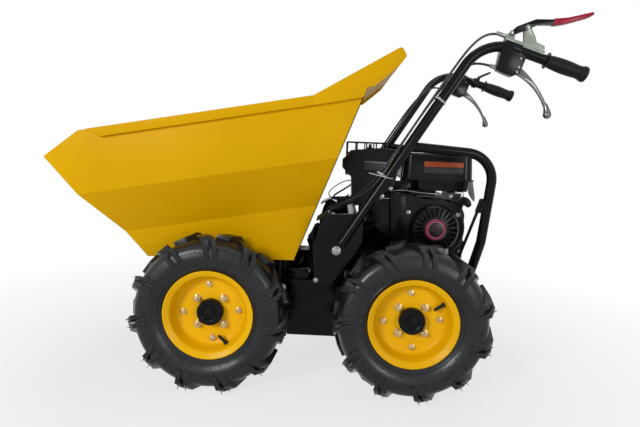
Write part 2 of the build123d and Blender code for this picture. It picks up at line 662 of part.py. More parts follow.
CAGE_WIRE = 4
CAGE_X = (108, 224)
CAGE_Y = (20, 126)
CAGE_Z = (566, 664)
with BuildPart() as muffler_cage:
    for wire_z in (CAGE_Z[0], 600, 632, CAGE_Z[1]):
        with BuildSketch(Plane.XY.offset(wire_z - CAGE_WIRE / 2)):
            with Locations(((CAGE_X[0] + CAGE_X[1]) / 2, (CAGE_Y[0] + CAGE_Y[1]) / 2)):
                Rectangle(CAGE_X[1] - CAGE_X[0] + CAGE_WIRE, CAGE_Y[1] - CAGE_Y[0] + CAGE_WIRE)
                Rectangle(CAGE_X[1] - CAGE_X[0] - CAGE_WIRE, CAGE_Y[1] - CAGE_Y[0] - CAGE_WIRE, mode=Mode.SUBTRACT)
        extrude(amount=CAGE_WIRE)
    with BuildSketch(Plane.XY.offset(CAGE_Z[0])):
        for wire_y in CAGE_Y:
            with Locations(*[(CAGE_X[0] + (CAGE_X[1] - CAGE_X[0]) * k / 4, wire_y) for k in range(5)]):
                Rectangle(CAGE_WIRE, CAGE_WIRE)
        for wire_x in CAGE_X:
            with Locations((wire_x, (CAGE_Y[0] + CAGE_Y[1]) / 2)):
                Rectangle(CAGE_WIRE, CAGE_WIRE)
    extrude(amount=CAGE_Z[1] - CAGE_Z[0])
    with BuildSketch(Plane.XY.offset(CAGE_Z[1] - CAGE_WIRE / 2)):
        with Locations(*[(CAGE_X[0] + (CAGE_X[1] - CAGE_X[0]) * k / 4, (CAGE_Y[0] + CAGE_Y[1]) / 2) for k in (1, 2, 3)]):
            Rectangle(CAGE_WIRE, CAGE_Y[1] - CAGE_Y[0])
    extrude(amount=CAGE_WIRE)
    with BuildSketch(Plane.XZ.offset(-MUFFLER_FAR)):
        with Locations((165, 600)):
            Rectangle(16, 8)
    extrude(amount=MUFFLER_FAR - CAGE_Y[1])
save(muffler_cage.part, "muffler_cage")

INPUT_X = 60
INPUT_Z = 330
with BuildPart() as belt_cover:
    with BuildSketch(Plane.XZ.offset(-112)):
        with Locations((CRANK_X, CRANK_Z)):
            Circle(75)
        with Locations((INPUT_X, INPUT_Z)):
            Circle(60)
        Polygon(
            (CRANK_X, CRANK_Z + 75), (INPUT_X, INPUT_Z + 60), (INPUT_X, INPUT_Z - 60),
            (CRANK_X, CRANK_Z - 75), align=None,
        )
    extrude(amount=112 - RAIL_IN)
    with BuildSketch(Plane.XZ.offset(-CRANKCASE_Y)):
        with Locations((CRANK_X, CRANK_Z)):
            Circle(30)
    extrude(amount=-17)
save(belt_cover.part, "belt_cover")

# ---------------------------------------------------------------- handlebars and guards
bar_rise = degrees(atan2(BAR_APEX[1] - BAR_FOOT[1], BAR_APEX[0] - BAR_FOOT[0]))
bar_start = along(BAR_FOOT, bar_rise, 22)
grip_start = along(BAR_APEX, -BAR_DROP, (GRIP_X - BAR_APEX[0]) / cos(radians(BAR_DROP)))
bar_end = along(grip_start, -BAR_DROP, GRIP_LENGTH - GRIP_WALL)

with BuildPart() as handlebars:
    for side in (LEFT, RIGHT):
        with BuildLine():
            bar_path = FilletPolyline(
                (bar_start[0], side * BAR_Y, bar_start[1]), (BAR_APEX[0], side * BAR_Y, BAR_APEX[1]),
                (bar_end[0], side * BAR_Y, bar_end[1]), radius=BAR_BEND_R,
            )
        with BuildSketch(Plane(origin=bar_path @ 0, z_dir=bar_path % 0)):
            Circle(TUBE_R)
        sweep()
        with BuildSketch(Plane.XZ.offset(-side * handle_plate_out)):
            with Locations(along(BAR_FOOT, bar_rise, BAR_TAB / 2)):
                SlotCenterToCenter(BAR_TAB, 2 * TUBE_R + 2, rotation=bar_rise)
        extrude(amount=-side * 6)
save(handlebars.part, "handlebars")

GUARD = [(262, 252, 655), (478, 238, 640), (466, 205, 412), (453, 184, 335), (404, 163, 270)]
GUARD_BENDS = [75, 60, 30]
STAY_R = 4
STAY = [(448, 222, 500), (396, 154, 272)]
for name, side in [("guard_left", LEFT), ("guard_right", RIGHT)]:
    with BuildPart() as guard:
        with BuildLine():
            guard_path = FilletPolyline(*[(x, side * y, z) for x, y, z in GUARD], radius=GUARD_BENDS)
        with BuildSketch(Plane(origin=guard_path @ 0, z_dir=guard_path % 0)):
            Circle(TUBE_R)
        sweep()
        with BuildSketch(Plane.XZ.offset(-side * (STAY[0][1] - 2.5))):
            Polygon((470, 530), (450, 528), (440, 494), (453, 490), (468, 500), align=None)
        extrude(amount=-side * 5)
        with BuildLine():
            stay_path = Line(*[(x, side * y, z) for x, y, z in STAY])
        with BuildSketch(Plane(origin=stay_path @ 0, z_dir=stay_path % 0)):
            Circle(STAY_R)
        sweep()
        add(handlebars.part, mode=Mode.SUBTRACT)
        add(chassis_frame.part, mode=Mode.SUBTRACT)
    save(guard.part, name)

# ---------------------------------------------------------------- controls
GRIP_OUTLINE = [
    (0, 0), (0, 20), (4, 20), (6, 16.5), (30, 15.5), (60, 15), (GRIP_LENGTH - 17, 17),
    (GRIP_LENGTH - 8, 19), (GRIP_LENGTH - 2, 18), (GRIP_LENGTH, 14), (GRIP_LENGTH, 0),
]
drop = radians(BAR_DROP)
with BuildPart() as grips:
    for side in (LEFT, RIGHT):
        grip_plane = Plane(
            origin=(grip_start[0], side * BAR_Y, grip_start[1]), x_dir=(cos(drop), 0, -sin(drop)),
            z_dir=(0, -1, 0),
        )
        with BuildSketch(grip_plane):
            Polygon(*GRIP_OUTLINE, align=None)
        revolve(axis=Axis(grip_plane.origin, grip_plane.x_dir))
    add(handlebars.part, mode=Mode.SUBTRACT)
save(grips.part, "grips")

HOUSING_HALF = 11.5
COLLAR_R = 15
with BuildPart() as lever_housings:
    for side in (LEFT, RIGHT):
        with BuildSketch(Plane.XZ.offset(-side * BAR_Y)):
            with BuildLine():
                FilletPolyline(
                    (490, 896), (459, 896), (451, 846), (470, 838), (490, 831), (508, 840), (520, 878),
                    (505, 889), radius=5,
                )
                Line((505, 889), (490, 896))
            make_face()
        extrude(amount=HOUSING_HALF, both=True)
        collar_start = along(BAR_APEX, -BAR_DROP, 48)
        with BuildSketch(Plane(
            origin=(collar_start[0], side * BAR_Y, collar_start[1]), z_dir=(cos(drop), 0, -sin(drop)),
        )):
            Circle(COLLAR_R)
        extrude(amount=44)
    add(handlebars.part, mode=Mode.SUBTRACT)
save(lever_housings.part, "lever_housings")

LEVER_HALF = 3.5
LEVER_BALL = (585, 744)
LEVER_BALL_R = 10
with BuildPart() as hand_levers:
    for side in (LEFT, RIGHT):
        with BuildSketch(Plane.XZ.offset(-side * BAR_Y)):
            with BuildLine():
                ThreePointArc((500, 862), (541, 826), (580, 768))
                ThreePointArc((580, 768), (588, 752), LEVER_BALL)
                ThreePointArc(LEVER_BALL, (580, 754), (573, 765))
                ThreePointArc((573, 765), (539, 812), (498, 838))
                Line((498, 838), (500, 862))
            make_face()
        extrude(amount=LEVER_HALF, both=True)
        with Locations((LEVER_BALL[0], side * BAR_Y, LEVER_BALL[1])):
            Sphere(LEVER_BALL_R)
    add(lever_housings.part, mode=Mode.SUBTRACT)
save(hand_levers.part, "hand_levers")

EAR_GAP = 5                # between the ears of the bracket
EAR_SHEET = 2.5
LEVER_HALF_WIDTH = 8.5
LEVER_SHEET = 2.5
LEVER_PIVOT = (521, 944)
with BuildPart() as clutch_bracket:
    with BuildSketch(Plane.XZ.offset(BAR_Y)):
        Polygon(*moved(LEVER_PIVOT, (-55, -32), (-51, -18), (-7, -38), (43, -52), (39, -66)), align=None)
    extrude(amount=EAR_GAP / 2 + EAR_SHEET + 4, both=True)
    for ear in (LEFT, RIGHT):
        with BuildSketch(Plane.XZ.offset(BAR_Y - ear * EAR_GAP / 2)):
            Polygon(
                *moved(
                    LEVER_PIVOT, (-55, -28), (-53, -18), (-46, -12), (-37, -8), (-30, -19), (-31, -25),
                    (-7, -32), (-10, -4), (-5, 8), (5, 8), (9, -1), (19, -19), (22, -30), (42, -39), (43, -56),
                ),
                align=None,
            )
        extrude(amount=-ear * EAR_SHEET)
    with BuildSketch(Plane.XZ.offset(BAR_Y)):
        with Locations(LEVER_PIVOT):
            Circle(4)
    extrude(amount=LEVER_HALF_WIDTH - LEVER_SHEET, both=True)
    add(handlebars.part, mode=Mode.SUBTRACT)
    add(lever_housings.part, mode=Mode.SUBTRACT)
save(clutch_bracket.part, "clutch_bracket")

with BuildPart() as clutch_lever:
    with BuildSketch(Plane.XZ.offset(BAR_Y)):
        with BuildLine():
            FilletPolyline(
                *moved(
                    LEVER_PIVOT, (-37, -3), (-44, -9), (-39, -17), (-29, -13), (3, 1), (24, 11), (65, 11),
                    (135, 29), (136, 35), (63, 23), (15, 22), (-12, 11), (-29, 4),
                ),
                radius=2,
            )
            Line(*moved(LEVER_PIVOT, (-29, 4), (-37, -3)))
        make_face()
    extrude(amount=LEVER_HALF_WIDTH, both=True)
    with BuildSketch(Plane.XZ.offset(BAR_Y)):
        Polygon(
            *moved(
                LEVER_PIVOT, (-51, -12), (-37, -6), (-29, 0), (-12, 7), (16, 18.5), (29, 18.5), (29, -24),
                (-51, -34),
            ),
            align=None,
        )
    extrude(amount=LEVER_HALF_WIDTH - LEVER_SHEET, both=True, mode=Mode.SUBTRACT)
save(clutch_lever.part, "clutch_lever")

with BuildPart() as lever_sleeve:
    with BuildSketch(Plane.XZ.offset(BAR_Y)):
        with BuildLine():
            FilletPolyline(
                *moved(
                    LEVER_PIVOT, (65, 16), (65, 7.5), (119, 21), (147, 35), (151, 42), (144, 45), (119, 39),
                    (65, 26),
                ),
                radius=3,
            )
            Line(*moved(LEVER_PIVOT, (65, 26), (65, 16)))
        make_face()
    extrude(amount=LEVER_HALF_WIDTH + 1.5, both=True)
    add(clutch_lever.part, mode=Mode.SUBTRACT)
save(lever_sleeve.part, "lever_sleeve")

THROTTLE_AT = 118          # along the bar from its apex
throttle_centre = along(BAR_APEX, -BAR_DROP, THROTTLE_AT)
with BuildPart() as throttle_lever:
    with BuildSketch(Plane(
        origin=(throttle_centre[0], BAR_Y, throttle_centre[1]), z_dir=(cos(drop), 0, -sin(drop)),
    )):
        Circle(COLLAR_R + 2)
    extrude(amount=14)
    with BuildSketch(Plane.XZ.offset(-BAR_Y)):
        with BuildLine():
            FilletPolyline((536, 890), (548, 905), (588, 922), (590, 916), (556, 899), (552, 884), radius=2)
            Line((552, 884), (536, 890))
        make_face()
    extrude(amount=5, both=True)
    add(handlebars.part, mode=Mode.SUBTRACT)
save(throttle_lever.part, "throttle_lever")

with BuildPart() as engine_controls:
    with BuildSketch(Plane.XZ.offset(CRANKCASE_Y + 12)):
        Polygon(
            (352, 519), (366, 527), (386, 531), (428, 531), (430, 524), (412, 512), (380, 514),
            (357, 515), align=None,
        )
    extrude(amount=6)
    with BuildSketch(Plane.XZ.offset(CRANKCASE_Y - 30)):
        with Locations((400, 521)):
            Circle(4)
    extrude(amount=42)
    add(fan_cover.part, mode=Mode.SUBTRACT)
    add(engine_block.part, mode=Mode.SUBTRACT)
save(engine_controls.part, "engine_controls")

# Control cables, each a list of points with the radii of its bends
CABLES = [
    (
        "clutch",
        [
            (470, -264, 926.5), (440, -264, 936), (398, -266, 914), (353, -268, 852), (222, -268, 640),
            (196, -282, 588), (165, -264, 545), (114, -226, 508), (56, -186, 482),
        ],
    ),
    (
        "left brake",
        [
            (453, -264, 852), (414, -262, 864), (384, -245, 857), (350, -246, 830), (304, -250, 769),
            (210, -250, 617), (176, -236, 566), (130, -210, 520), (92, -186, 498), (70, -178, 484),
            (62, -158, 452), (58, -106, 412), (54, -98, 300), (52, -92, 221),
        ],
    ),
    (
        "right brake",
        [
            (453, 264, 852), (414, 262, 864), (384, 245, 857), (350, 246, 830), (304, 250, 769),
            (210, 250, 617), (176, 236, 566), (130, 210, 520), (92, 186, 498), (70, 178, 484),
            (62, 158, 452), (58, 106, 412), (54, 98, 300), (52, 92, 221),
        ],
    ),
    (
        "throttle",
        [
            (531, 247, 887), (500, 242, 903), (462, 241, 908), (412, 242, 900), (362, 242, 846),
            (306, 240, 755), (240, 224, 650), (238, 196, 596), (280, 150, 560), (340, 100, 530),
            (384, 50, 521.5), (384, -60, 521.5), (388, -107, 521),
        ],
    ),
]


def bends(points):
    """The largest comfortable radius at each corner of a route."""
    radii = []
    for before, corner, after in zip(points, points[1:], points[2:]):
        first = Vector(*corner) - Vector(*before)
        second = Vector(*after) - Vector(*corner)
        half_turn = radians(first.get_angle(second)) / 2
        radii.append(0.45 * min(first.length, second.length) / tan(half_turn))
    return radii


with BuildPart() as control_cables:
    for name, points in CABLES:
        with BuildLine():
            cable_path = FilletPolyline(*points, radius=bends(points))
        with BuildSketch(Plane(origin=cable_path @ 0, z_dir=cable_path % 0)):
            Circle(CABLE_R)
        sweep()
    for neighbour in (handlebars, lever_housings, clutch_bracket, engine_controls, throttle_lever, handle_plates):
        add(neighbour.part, mode=Mode.SUBTRACT)
save(control_cables.part, "control_cables")
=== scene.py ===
"""Looks of a walk-behind four-wheel skip dumper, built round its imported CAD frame."""
from math import atan2, cos, pi, radians, sin

import bpy
from mathutils import Matrix, Vector


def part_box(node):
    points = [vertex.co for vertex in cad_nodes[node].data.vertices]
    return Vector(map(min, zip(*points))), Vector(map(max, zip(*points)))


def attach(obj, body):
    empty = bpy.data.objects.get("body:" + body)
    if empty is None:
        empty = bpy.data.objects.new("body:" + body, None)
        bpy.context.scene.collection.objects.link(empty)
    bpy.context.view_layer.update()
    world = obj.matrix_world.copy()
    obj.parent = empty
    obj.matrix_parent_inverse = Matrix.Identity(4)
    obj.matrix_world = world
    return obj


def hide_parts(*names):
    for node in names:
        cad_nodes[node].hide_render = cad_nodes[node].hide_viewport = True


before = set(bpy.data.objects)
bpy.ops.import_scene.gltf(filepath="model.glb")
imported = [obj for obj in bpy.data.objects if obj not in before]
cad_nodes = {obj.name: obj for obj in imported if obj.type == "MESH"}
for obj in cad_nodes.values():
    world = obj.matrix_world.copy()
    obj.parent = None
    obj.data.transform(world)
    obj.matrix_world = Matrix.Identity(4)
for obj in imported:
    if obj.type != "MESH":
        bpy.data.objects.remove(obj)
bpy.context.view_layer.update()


# ---- Studio ----------------------------------------------------------------------
# A white room: a pale floor that keeps the shadow near the machine and fades to white,
# two soft boxes in front, one overhead and one behind.

def hex_colour(text):
    """An sRGB hex value as the linear colour that a shader takes."""
    parts = [int(text[place:place + 2], 16) / 255 for place in (0, 2, 4)]
    return tuple(c / 12.92 if c <= 0.04045 else ((c + 0.055) / 1.055) ** 2.4 for c in parts) + (1.0,)


def add_node(tree, kind, inputs=None, **options):
    """Adds a shader node; an input is a value, or another node's output to link from."""
    made = tree.nodes.new("ShaderNode" + kind)
    for name, value in options.items():
        setattr(made, name, value)
    for key, value in (inputs or {}).items():
        if isinstance(value, bpy.types.NodeSocket):
            tree.links.new(value, made.inputs[key])
        else:
            made.inputs[key].default_value = value
    return made


def start_material(name):
    """A new material with an empty tree."""
    made = bpy.data.materials.new(name)
    made.use_nodes = True
    made.node_tree.nodes.clear()
    return made, made.node_tree


def background_rays(tree):
    """1 for the rays that show the background: seen straight, in a reflection or through glass."""
    rays = add_node(tree, "LightPath")
    mirrored = add_node(tree, "Math", {
        0: rays.outputs["Is Glossy Ray"], 1: rays.outputs["Is Transmission Ray"]}, operation="ADD")
    shown = add_node(tree, "Math", {
        0: rays.outputs["Is Camera Ray"], 1: mirrored.outputs[0]}, operation="ADD", use_clamp=True)
    return shown.outputs[0]


ROOM_WHITE = (1, 1, 1, 1)
world = bpy.data.worlds.new("studio room")
bpy.context.scene.world = world
world.use_nodes = True
room = world.node_tree
room.nodes.clear()
room_light = add_node(room, "Background", {"Color": ROOM_WHITE, "Strength": 0.23})
room_seen = add_node(room, "Background", {"Color": ROOM_WHITE, "Strength": 1.0})
room_mix = add_node(room, "MixShader", {0: background_rays(room), 1: room_light.outputs[0],
                                        2: room_seen.outputs[0]})
add_node(room, "OutputWorld", {"Surface": room_mix.outputs[0]})

# the floor shows its shadows near the middle, and is plain white from FADE_END outwards
FLOOR_SIZE = 14
FADE_START = 0.65
FADE_END = 1.6
FADE_BASE = 0.72
bpy.ops.mesh.primitive_plane_add(size=FLOOR_SIZE, location=(0, 0, 0))
floor = bpy.context.object
floor.name = "studio_floor"
# matt white: soft shadows under the wheels and no reflections
floor_paint, tree = start_material("matt white studio floor")
floor_place = add_node(tree, "TexCoord")
floor_distance = add_node(tree, "VectorMath", {0: floor_place.outputs["Object"]}, operation="LENGTH")
floor_fade = add_node(tree, "MapRange", {"Value": floor_distance.outputs["Value"], "From Min": FADE_START,
                                         "From Max": FADE_END, "To Min": FADE_BASE})
floor_matt = add_node(tree, "BsdfDiffuse", {"Color": hex_colour("D6D6D6")})
floor_white = add_node(tree, "Emission", {"Color": ROOM_WHITE, "Strength": 1.0})
floor_seen = add_node(tree, "Math", {
    0: floor_fade.outputs[0], 1: background_rays(tree)}, operation="MULTIPLY")
floor_mix = add_node(tree, "MixShader", {0: floor_seen.outputs[0], 1: floor_matt.outputs[0],
                                         2: floor_white.outputs[0]})
add_node(tree, "OutputMaterial", {"Surface": floor_mix.outputs[0]})
floor.data.materials.append(floor_paint)

SOFT_BOXES = [  # name, place, aimed at, size, watts
    ("key soft box", (-1.9, -3.0, 1.6), (-0.1, 0, 0.4), 1.0, 66),
    ("fill soft box", (1.9, -3.0, 0.9), (0.1, 0, 0.4), 0.9, 22),
    ("overhead soft box", (0.2, 0.1, 3.4), (0, 0, 0.4), 2.0, 21),
    ("back soft box", (1.2, 3.0, 2.4), (0, 0, 0.5), 1.6, 34),
]
for name, place, target, size, watts in SOFT_BOXES:
    lamp = bpy.data.lights.new(name, "AREA")
    lamp.size = size
    lamp.energy = watts
    lamp_object = bpy.data.objects.new(name, lamp)
    lamp_object.location = place
    lamp_object.rotation_euler = (Vector(target) - Vector(place)).to_track_quat("-Z", "Y").to_euler()
    bpy.context.scene.collection.objects.link(lamp_object)

CAMERA_PLACE = (0.0721, -1.5642, 0.6441)
CAMERA_RIGHT = (0.9988, 0.0301, 0.0379)
CAMERA_UP = (-0.0414, 0.1258, 0.9912)
CAMERA_BACK = (0.0251, -0.9916, 0.1269)
view = bpy.data.cameras.new("camera")
view.sensor_width = 36
view.lens = 29.05
camera = bpy.data.objects.new("camera", view)
camera.matrix_world = Matrix.Translation(CAMERA_PLACE) @ Matrix(
    [CAMERA_RIGHT, CAMERA_UP, CAMERA_BACK]).transposed().to_4x4()
bpy.context.scene.collection.objects.link(camera)
bpy.context.scene.camera = camera
bpy.context.scene.view_settings.view_transform = "Standard"


# ---- Skip ------------------------------------------------------------------------
# A folded and welded 3 mm steel skip with a flanged rim and a raised hood at the back.
# It is sprayed with yellow powder and baked, so it has a hard, slightly rippled gloss.

def coated_steel(name, colour, deep_colour, roughness, shine=0.5, ripple=0.3):
    """Powder coat: a hard gloss with a fine orange-peel ripple and slightly uneven colour."""
    made, tree = start_material(name)
    place = add_node(tree, "TexCoord")
    # the colour drifts over about 290 mm, as the powder's thickness does across a sheet
    cloud = add_node(tree, "TexNoise", {"Vector": place.outputs["Object"], "Scale": 3.5, "Detail": 4.0})
    # the real ripple is about 1 mm across, drawn here at about 4 mm so that it shows
    peel = add_node(tree, "TexNoise", {"Vector": place.outputs["Object"], "Scale": 260.0, "Detail": 2.0})
    shade = add_node(tree, "MapRange", {"Value": cloud.outputs["Fac"], "From Min": 0.35, "From Max": 0.7})
    tint = add_node(tree, "Mix", {0: shade.outputs[0], 6: hex_colour(colour), 7: hex_colour(deep_colour)},
                    data_type="RGBA")
    gloss = add_node(tree, "MapRange", {"Value": cloud.outputs["Fac"], "To Min": roughness - 0.06,
                                        "To Max": roughness + 0.08})
    bump = add_node(tree, "Bump", {"Height": peel.outputs["Fac"], "Strength": ripple, "Distance": 0.0002})
    shader = add_node(tree, "BsdfPrincipled", {
        "Base Color": tint.outputs[2], "Roughness": gloss.outputs[0], "Normal": bump.outputs[0],
        "Specular IOR Level": shine})
    add_node(tree, "OutputMaterial", {"Surface": shader.outputs[0]})
    return made


def select_only(*pieces):
    """Leaves only these pieces selected, the first of them active."""
    bpy.ops.object.select_all(action="DESELECT")
    for piece in pieces:
        piece.select_set(True)
    bpy.context.view_layer.objects.active = pieces[0]


def edit_all(piece):
    """Opens a piece in edit mode with all of it selected."""
    select_only(piece)
    bpy.ops.object.mode_set(mode="EDIT")
    bpy.ops.mesh.select_all(action="SELECT")


def apply_modifier(piece, kind, **settings):
    """Adds a modifier and applies it."""
    select_only(piece)
    modifier = piece.modifiers.new(kind.lower(), kind)
    for key, value in settings.items():
        setattr(modifier, key, value)
    bpy.ops.object.modifier_apply(modifier=modifier.name)


def break_edges(piece, width, angle, segments=2):
    """Rounds the edges that turn by more than an angle in degrees."""
    apply_modifier(piece, "BEVEL", width=width, segments=segments, limit_method="ANGLE",
                   angle_limit=radians(angle))


def finish_piece(piece, finish, body, smooth=30):
    """Gives a piece its finish and its body, with its shading smoothed by angle."""
    select_only(piece)
    bpy.ops.object.shade_smooth_by_angle(angle=radians(smooth))
    piece.data.materials.clear()
    piece.data.materials.append(finish)
    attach(piece, body)
    return piece


def softened(node, edge, finish, body):
    """A CAD node's shape with its sharp edges broken, as bent, cast or painted edges are."""
    piece = cad_nodes[node].copy()
    piece.data = cad_nodes[node].data.copy()
    piece.name = node + "_finished"
    bpy.context.scene.collection.objects.link(piece)
    piece.hide_render = False
    edit_all(piece)
    bpy.ops.mesh.remove_doubles(threshold=0.00002)
    bpy.ops.mesh.dissolve_limited(angle_limit=radians(1.5))
    bpy.ops.object.mode_set(mode="OBJECT")
    apply_modifier(piece, "BEVEL", width=edge, segments=2, limit_method="ANGLE", angle_limit=radians(28),
                   use_clamp_overlap=True)
    finish_piece(piece, finish, body)
    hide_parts(node)
    return piece


def dress(names, finish):
    """Gives CAD nodes their finish."""
    for name in names:
        cad_nodes[name].data.materials.clear()
        cad_nodes[name].data.materials.append(finish)


def rod(name, points, radius, finish, body, order=3, closed=False):
    """A wire, bead or tube of one radius along a smooth line."""
    curve = bpy.data.curves.new(name, "CURVE")
    curve.dimensions = "3D"
    curve.bevel_depth = radius
    curve.bevel_resolution = 3
    curve.resolution_u = 8
    curve.use_fill_caps = True
    spline = curve.splines.new("NURBS")
    spline.points.add(len(points) - 1)
    for place, point in zip(spline.points, points):
        place.co = (*point, 1)
    spline.order_u = order
    spline.use_cyclic_u = closed
    spline.use_endpoint_u = not closed
    piece = bpy.data.objects.new(name, curve)
    bpy.context.scene.collection.objects.link(piece)
    curve.materials.append(finish)
    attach(piece, body)
    return piece


# an even, deep yellow with a soft sheen and hardly any reflections
yellow_coat = coated_steel("yellow powder-coated steel", "DFAA00", "D5A000", 0.45, 0.07, 0.03)
for node in ("skip_sides", "skip_rims", "skip_hood", "skip_brackets"):
    softened(node, 0.0008, yellow_coat, "skip")
dress(["skip_front_plate", "skip_rear_plate", "skip_floor"], yellow_coat)

# the inside corners are closed by weld beads, and a thin dark line of painted shadow runs along the rear
# edges, where the gap behind the side sheets lies in shade
FOLD_SLOPE = radians(10.2)
FOLD_HEIGHTS = [0.4779, 0.5964]      # of the folds, square to the slope
LOWER_HALF_WIDTH = 0.19
UPPER_HALF_WIDTH = 0.262
SHEET = 0.003
WELD_R = 0.003
SHADOW_LINE_R = 0.0013
REAR_BOTTOM = (-0.029, 0.337)
FRONT_BOTTOM = (-0.43, 0.331)


def seam(bottom, top, inset, side):
    """The line where an end plate meets a folded side: its foot, both folds and its top."""
    points = [(bottom[0], side * (LOWER_HALF_WIDTH - inset), bottom[1])]
    for height, half_width in zip(FOLD_HEIGHTS, (LOWER_HALF_WIDTH, UPPER_HALF_WIDTH)):
        run, rise = top[0] - bottom[0], top[1] - bottom[1]
        part = ((height + bottom[0] * sin(FOLD_SLOPE) - bottom[1] * cos(FOLD_SLOPE))
                / (rise * cos(FOLD_SLOPE) - run * sin(FOLD_SLOPE)))
        points.append((bottom[0] + part * run, side * (half_width - inset), bottom[1] + part * rise))
    points.append((top[0], side * (UPPER_HALF_WIDTH - inset), top[1]))
    return points


# a slightly darker, lumpy line in the corners
weld_metal = coated_steel("painted weld bead", "D49C00", "BE8A00", 0.45, 0.2, 1.0)
# painted shadow: a thin, dull brown-black line along the rear edges, standing in for the shaded gap there
rear_edge_shadow_paint = coated_steel("painted shadow along the rear seam", "1E1608", "2C200C", 0.6, 0.2)
WELDED_ENDS = [("front", (-0.424, 0.336), (-0.662, 0.596)), ("rear", (-0.033, 0.341), (0.138, 0.791))]
SHADOW_LINE_TOP = (0.1425, 0.7905)
for side, word in ((-1, "left"), (1, "right")):
    for end, bottom, top in WELDED_ENDS:
        rod(f"skip_weld_{end}_{word}", seam(bottom, top, SHEET + 0.002, side), WELD_R, weld_metal,
            "skip", order=2)
    # a painted shadow line along each rear edge of the side sheets
    rod(f"skip_shadow_line_rear_{word}", seam(REAR_BOTTOM, SHADOW_LINE_TOP, 0.0005, side), SHADOW_LINE_R, rear_edge_shadow_paint,
        "skip", order=2)
weld_end = LOWER_HALF_WIDTH - 0.006
for end, x, z in (("front", FRONT_BOTTOM[0] + 0.006, 0.3365), ("rear", REAR_BOTTOM[0] - 0.006, 0.3425)):
    rod("skip_floor_weld_" + end, [(x, -weld_end, z), (x, weld_end, z)], WELD_R, weld_metal,
        "skip", order=2)


# ---- Tyres -----------------------------------------------------------------------
# Lugged tyres of moulded black rubber on 8 inch rims. Each shoulder carries eleven forked
# lugs in a herringbone, and the mould leaves fine hairs on lugs and sidewalls.

def moulded_rubber(name, colour, bloom_colour, roughness, shine=0.3):
    """Moulded rubber or plastic: dark and slightly waxy, with the mould's grain and a faint bloom."""
    made, tree = start_material(name)
    place = add_node(tree, "TexCoord")
    # patches of bloom are about 90 mm across
    bloom = add_node(tree, "TexNoise", {"Vector": place.outputs["Object"], "Scale": 11.0, "Detail": 6.0})
    # the mould's grain is under 0.5 mm, drawn here at about 2 mm so that it shows
    grain = add_node(tree, "TexNoise", {"Vector": place.outputs["Object"], "Scale": 520.0, "Detail": 3.0})
    tint = add_node(tree, "Mix", {
        0: bloom.outputs["Fac"], 6: hex_colour(colour), 7: hex_colour(bloom_colour)}, data_type="RGBA")
    gloss = add_node(tree, "MapRange", {"Value": bloom.outputs["Fac"], "From Min": 0.3, "From Max": 0.7,
                                        "To Min": roughness - 0.08, "To Max": roughness + 0.1})
    bump = add_node(tree, "Bump", {"Height": grain.outputs["Fac"], "Strength": 0.4, "Distance": 0.0003})
    shader = add_node(tree, "BsdfPrincipled", {
        "Base Color": tint.outputs[2], "Roughness": gloss.outputs[0], "Normal": bump.outputs[0],
        "Specular IOR Level": shine})
    add_node(tree, "OutputMaterial", {"Surface": shader.outputs[0]})
    return made


def place_in_mesh(name):
    """Names the active piece and moves its place, turn and scale into its mesh."""
    piece = bpy.context.view_layer.objects.active
    select_only(piece)
    bpy.ops.object.transform_apply(location=True, rotation=True, scale=True)
    piece.name = name
    piece.data.name = name
    return piece


def join(pieces, name):
    """Joins pieces into the first one."""
    select_only(*pieces)
    if len(pieces) > 1:
        bpy.ops.object.join()
    pieces[0].name = name
    pieces[0].data.name = name
    return pieces[0]


def copy_of(piece, name, matrix):
    """A copy with its own mesh, moved by a matrix; a mirrored copy has its faces turned back out."""
    twin = piece.copy()
    twin.data = piece.data.copy()
    twin.name = name
    twin.data.name = name
    twin.data.transform(matrix)
    if matrix.determinant() < 0:
        twin.data.flip_normals()
    bpy.context.scene.collection.objects.link(twin)
    return twin


def drawn(name, points):
    """A line of edges drawn from one vertex through the points."""
    bpy.ops.object.select_all(action="DESELECT")
    bpy.ops.mesh.primitive_plane_add(size=0.01, location=points[0])
    piece = place_in_mesh(name)
    edit_all(piece)
    bpy.ops.mesh.merge(type="CENTER")
    for before, after in zip(points, points[1:]):
        bpy.ops.mesh.extrude_region_move(TRANSFORM_OT_translate={"value": Vector(after) - Vector(before)})
    bpy.ops.object.mode_set(mode="OBJECT")
    return piece


def spun(name, outline, steps=64, closed=False):
    """An outline of (radius, distance along Y) turned about the Y axis."""
    if closed:
        outline = outline + outline[:1]
    piece = drawn(name, [(radius, along, 0) for radius, along in outline])
    edit_all(piece)
    bpy.ops.mesh.spin(steps=steps, angle=2 * pi, center=(0, 0, 0), axis=(0, 1, 0))
    bpy.ops.mesh.select_all(action="SELECT")
    bpy.ops.mesh.remove_doubles(threshold=0.00001)
    bpy.ops.mesh.normals_make_consistent(inside=False)
    bpy.ops.object.mode_set(mode="OBJECT")
    return piece


def middle(node):
    """The middle of a CAD node's box."""
    low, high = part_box(node)
    return (low + high) / 2


# how many degrees round each wheel stands
WHEELS = {"front_left": -13, "front_right": 0, "rear_left": -7, "rear_right": 0}
tyre_low, tyre_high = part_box("tyre_front_right")
TYRE_R = (tyre_high.z - tyre_low.z) / 2
LUG_FACE = (tyre_high.y - tyre_low.y) / 2
LUGS = 11
LUG_WIDTH = 0.03
LUG_LEAN = radians(28)
LUG_CREST = 0.038
LUG_FOOT = 0.15
SHOULDER_DROP = 0.018
LUG_OVERLAP = 0.003       # how far each lug crosses the middle of the crown
LUG_BLANK = (LUG_WIDTH, 0.13, 0.07)
LUG_BLANK_Z = 0.178
FORK_PLACE = (0.06, 0.17)     # distance out and height of the slot that forks a lug
FORK_SIZE = (0.0095, 0.034, 0.058)
lug_crest_x = LUG_CREST * sin(LUG_LEAN) / cos(LUG_LEAN) + LUG_WIDTH / 2 / cos(LUG_LEAN)
lug_top = (TYRE_R ** 2 - lug_crest_x ** 2) ** 0.5
lug_phase = -atan2(lug_crest_x, lug_top)
lug_middle = (LUG_FACE - LUG_OVERLAP) / 2


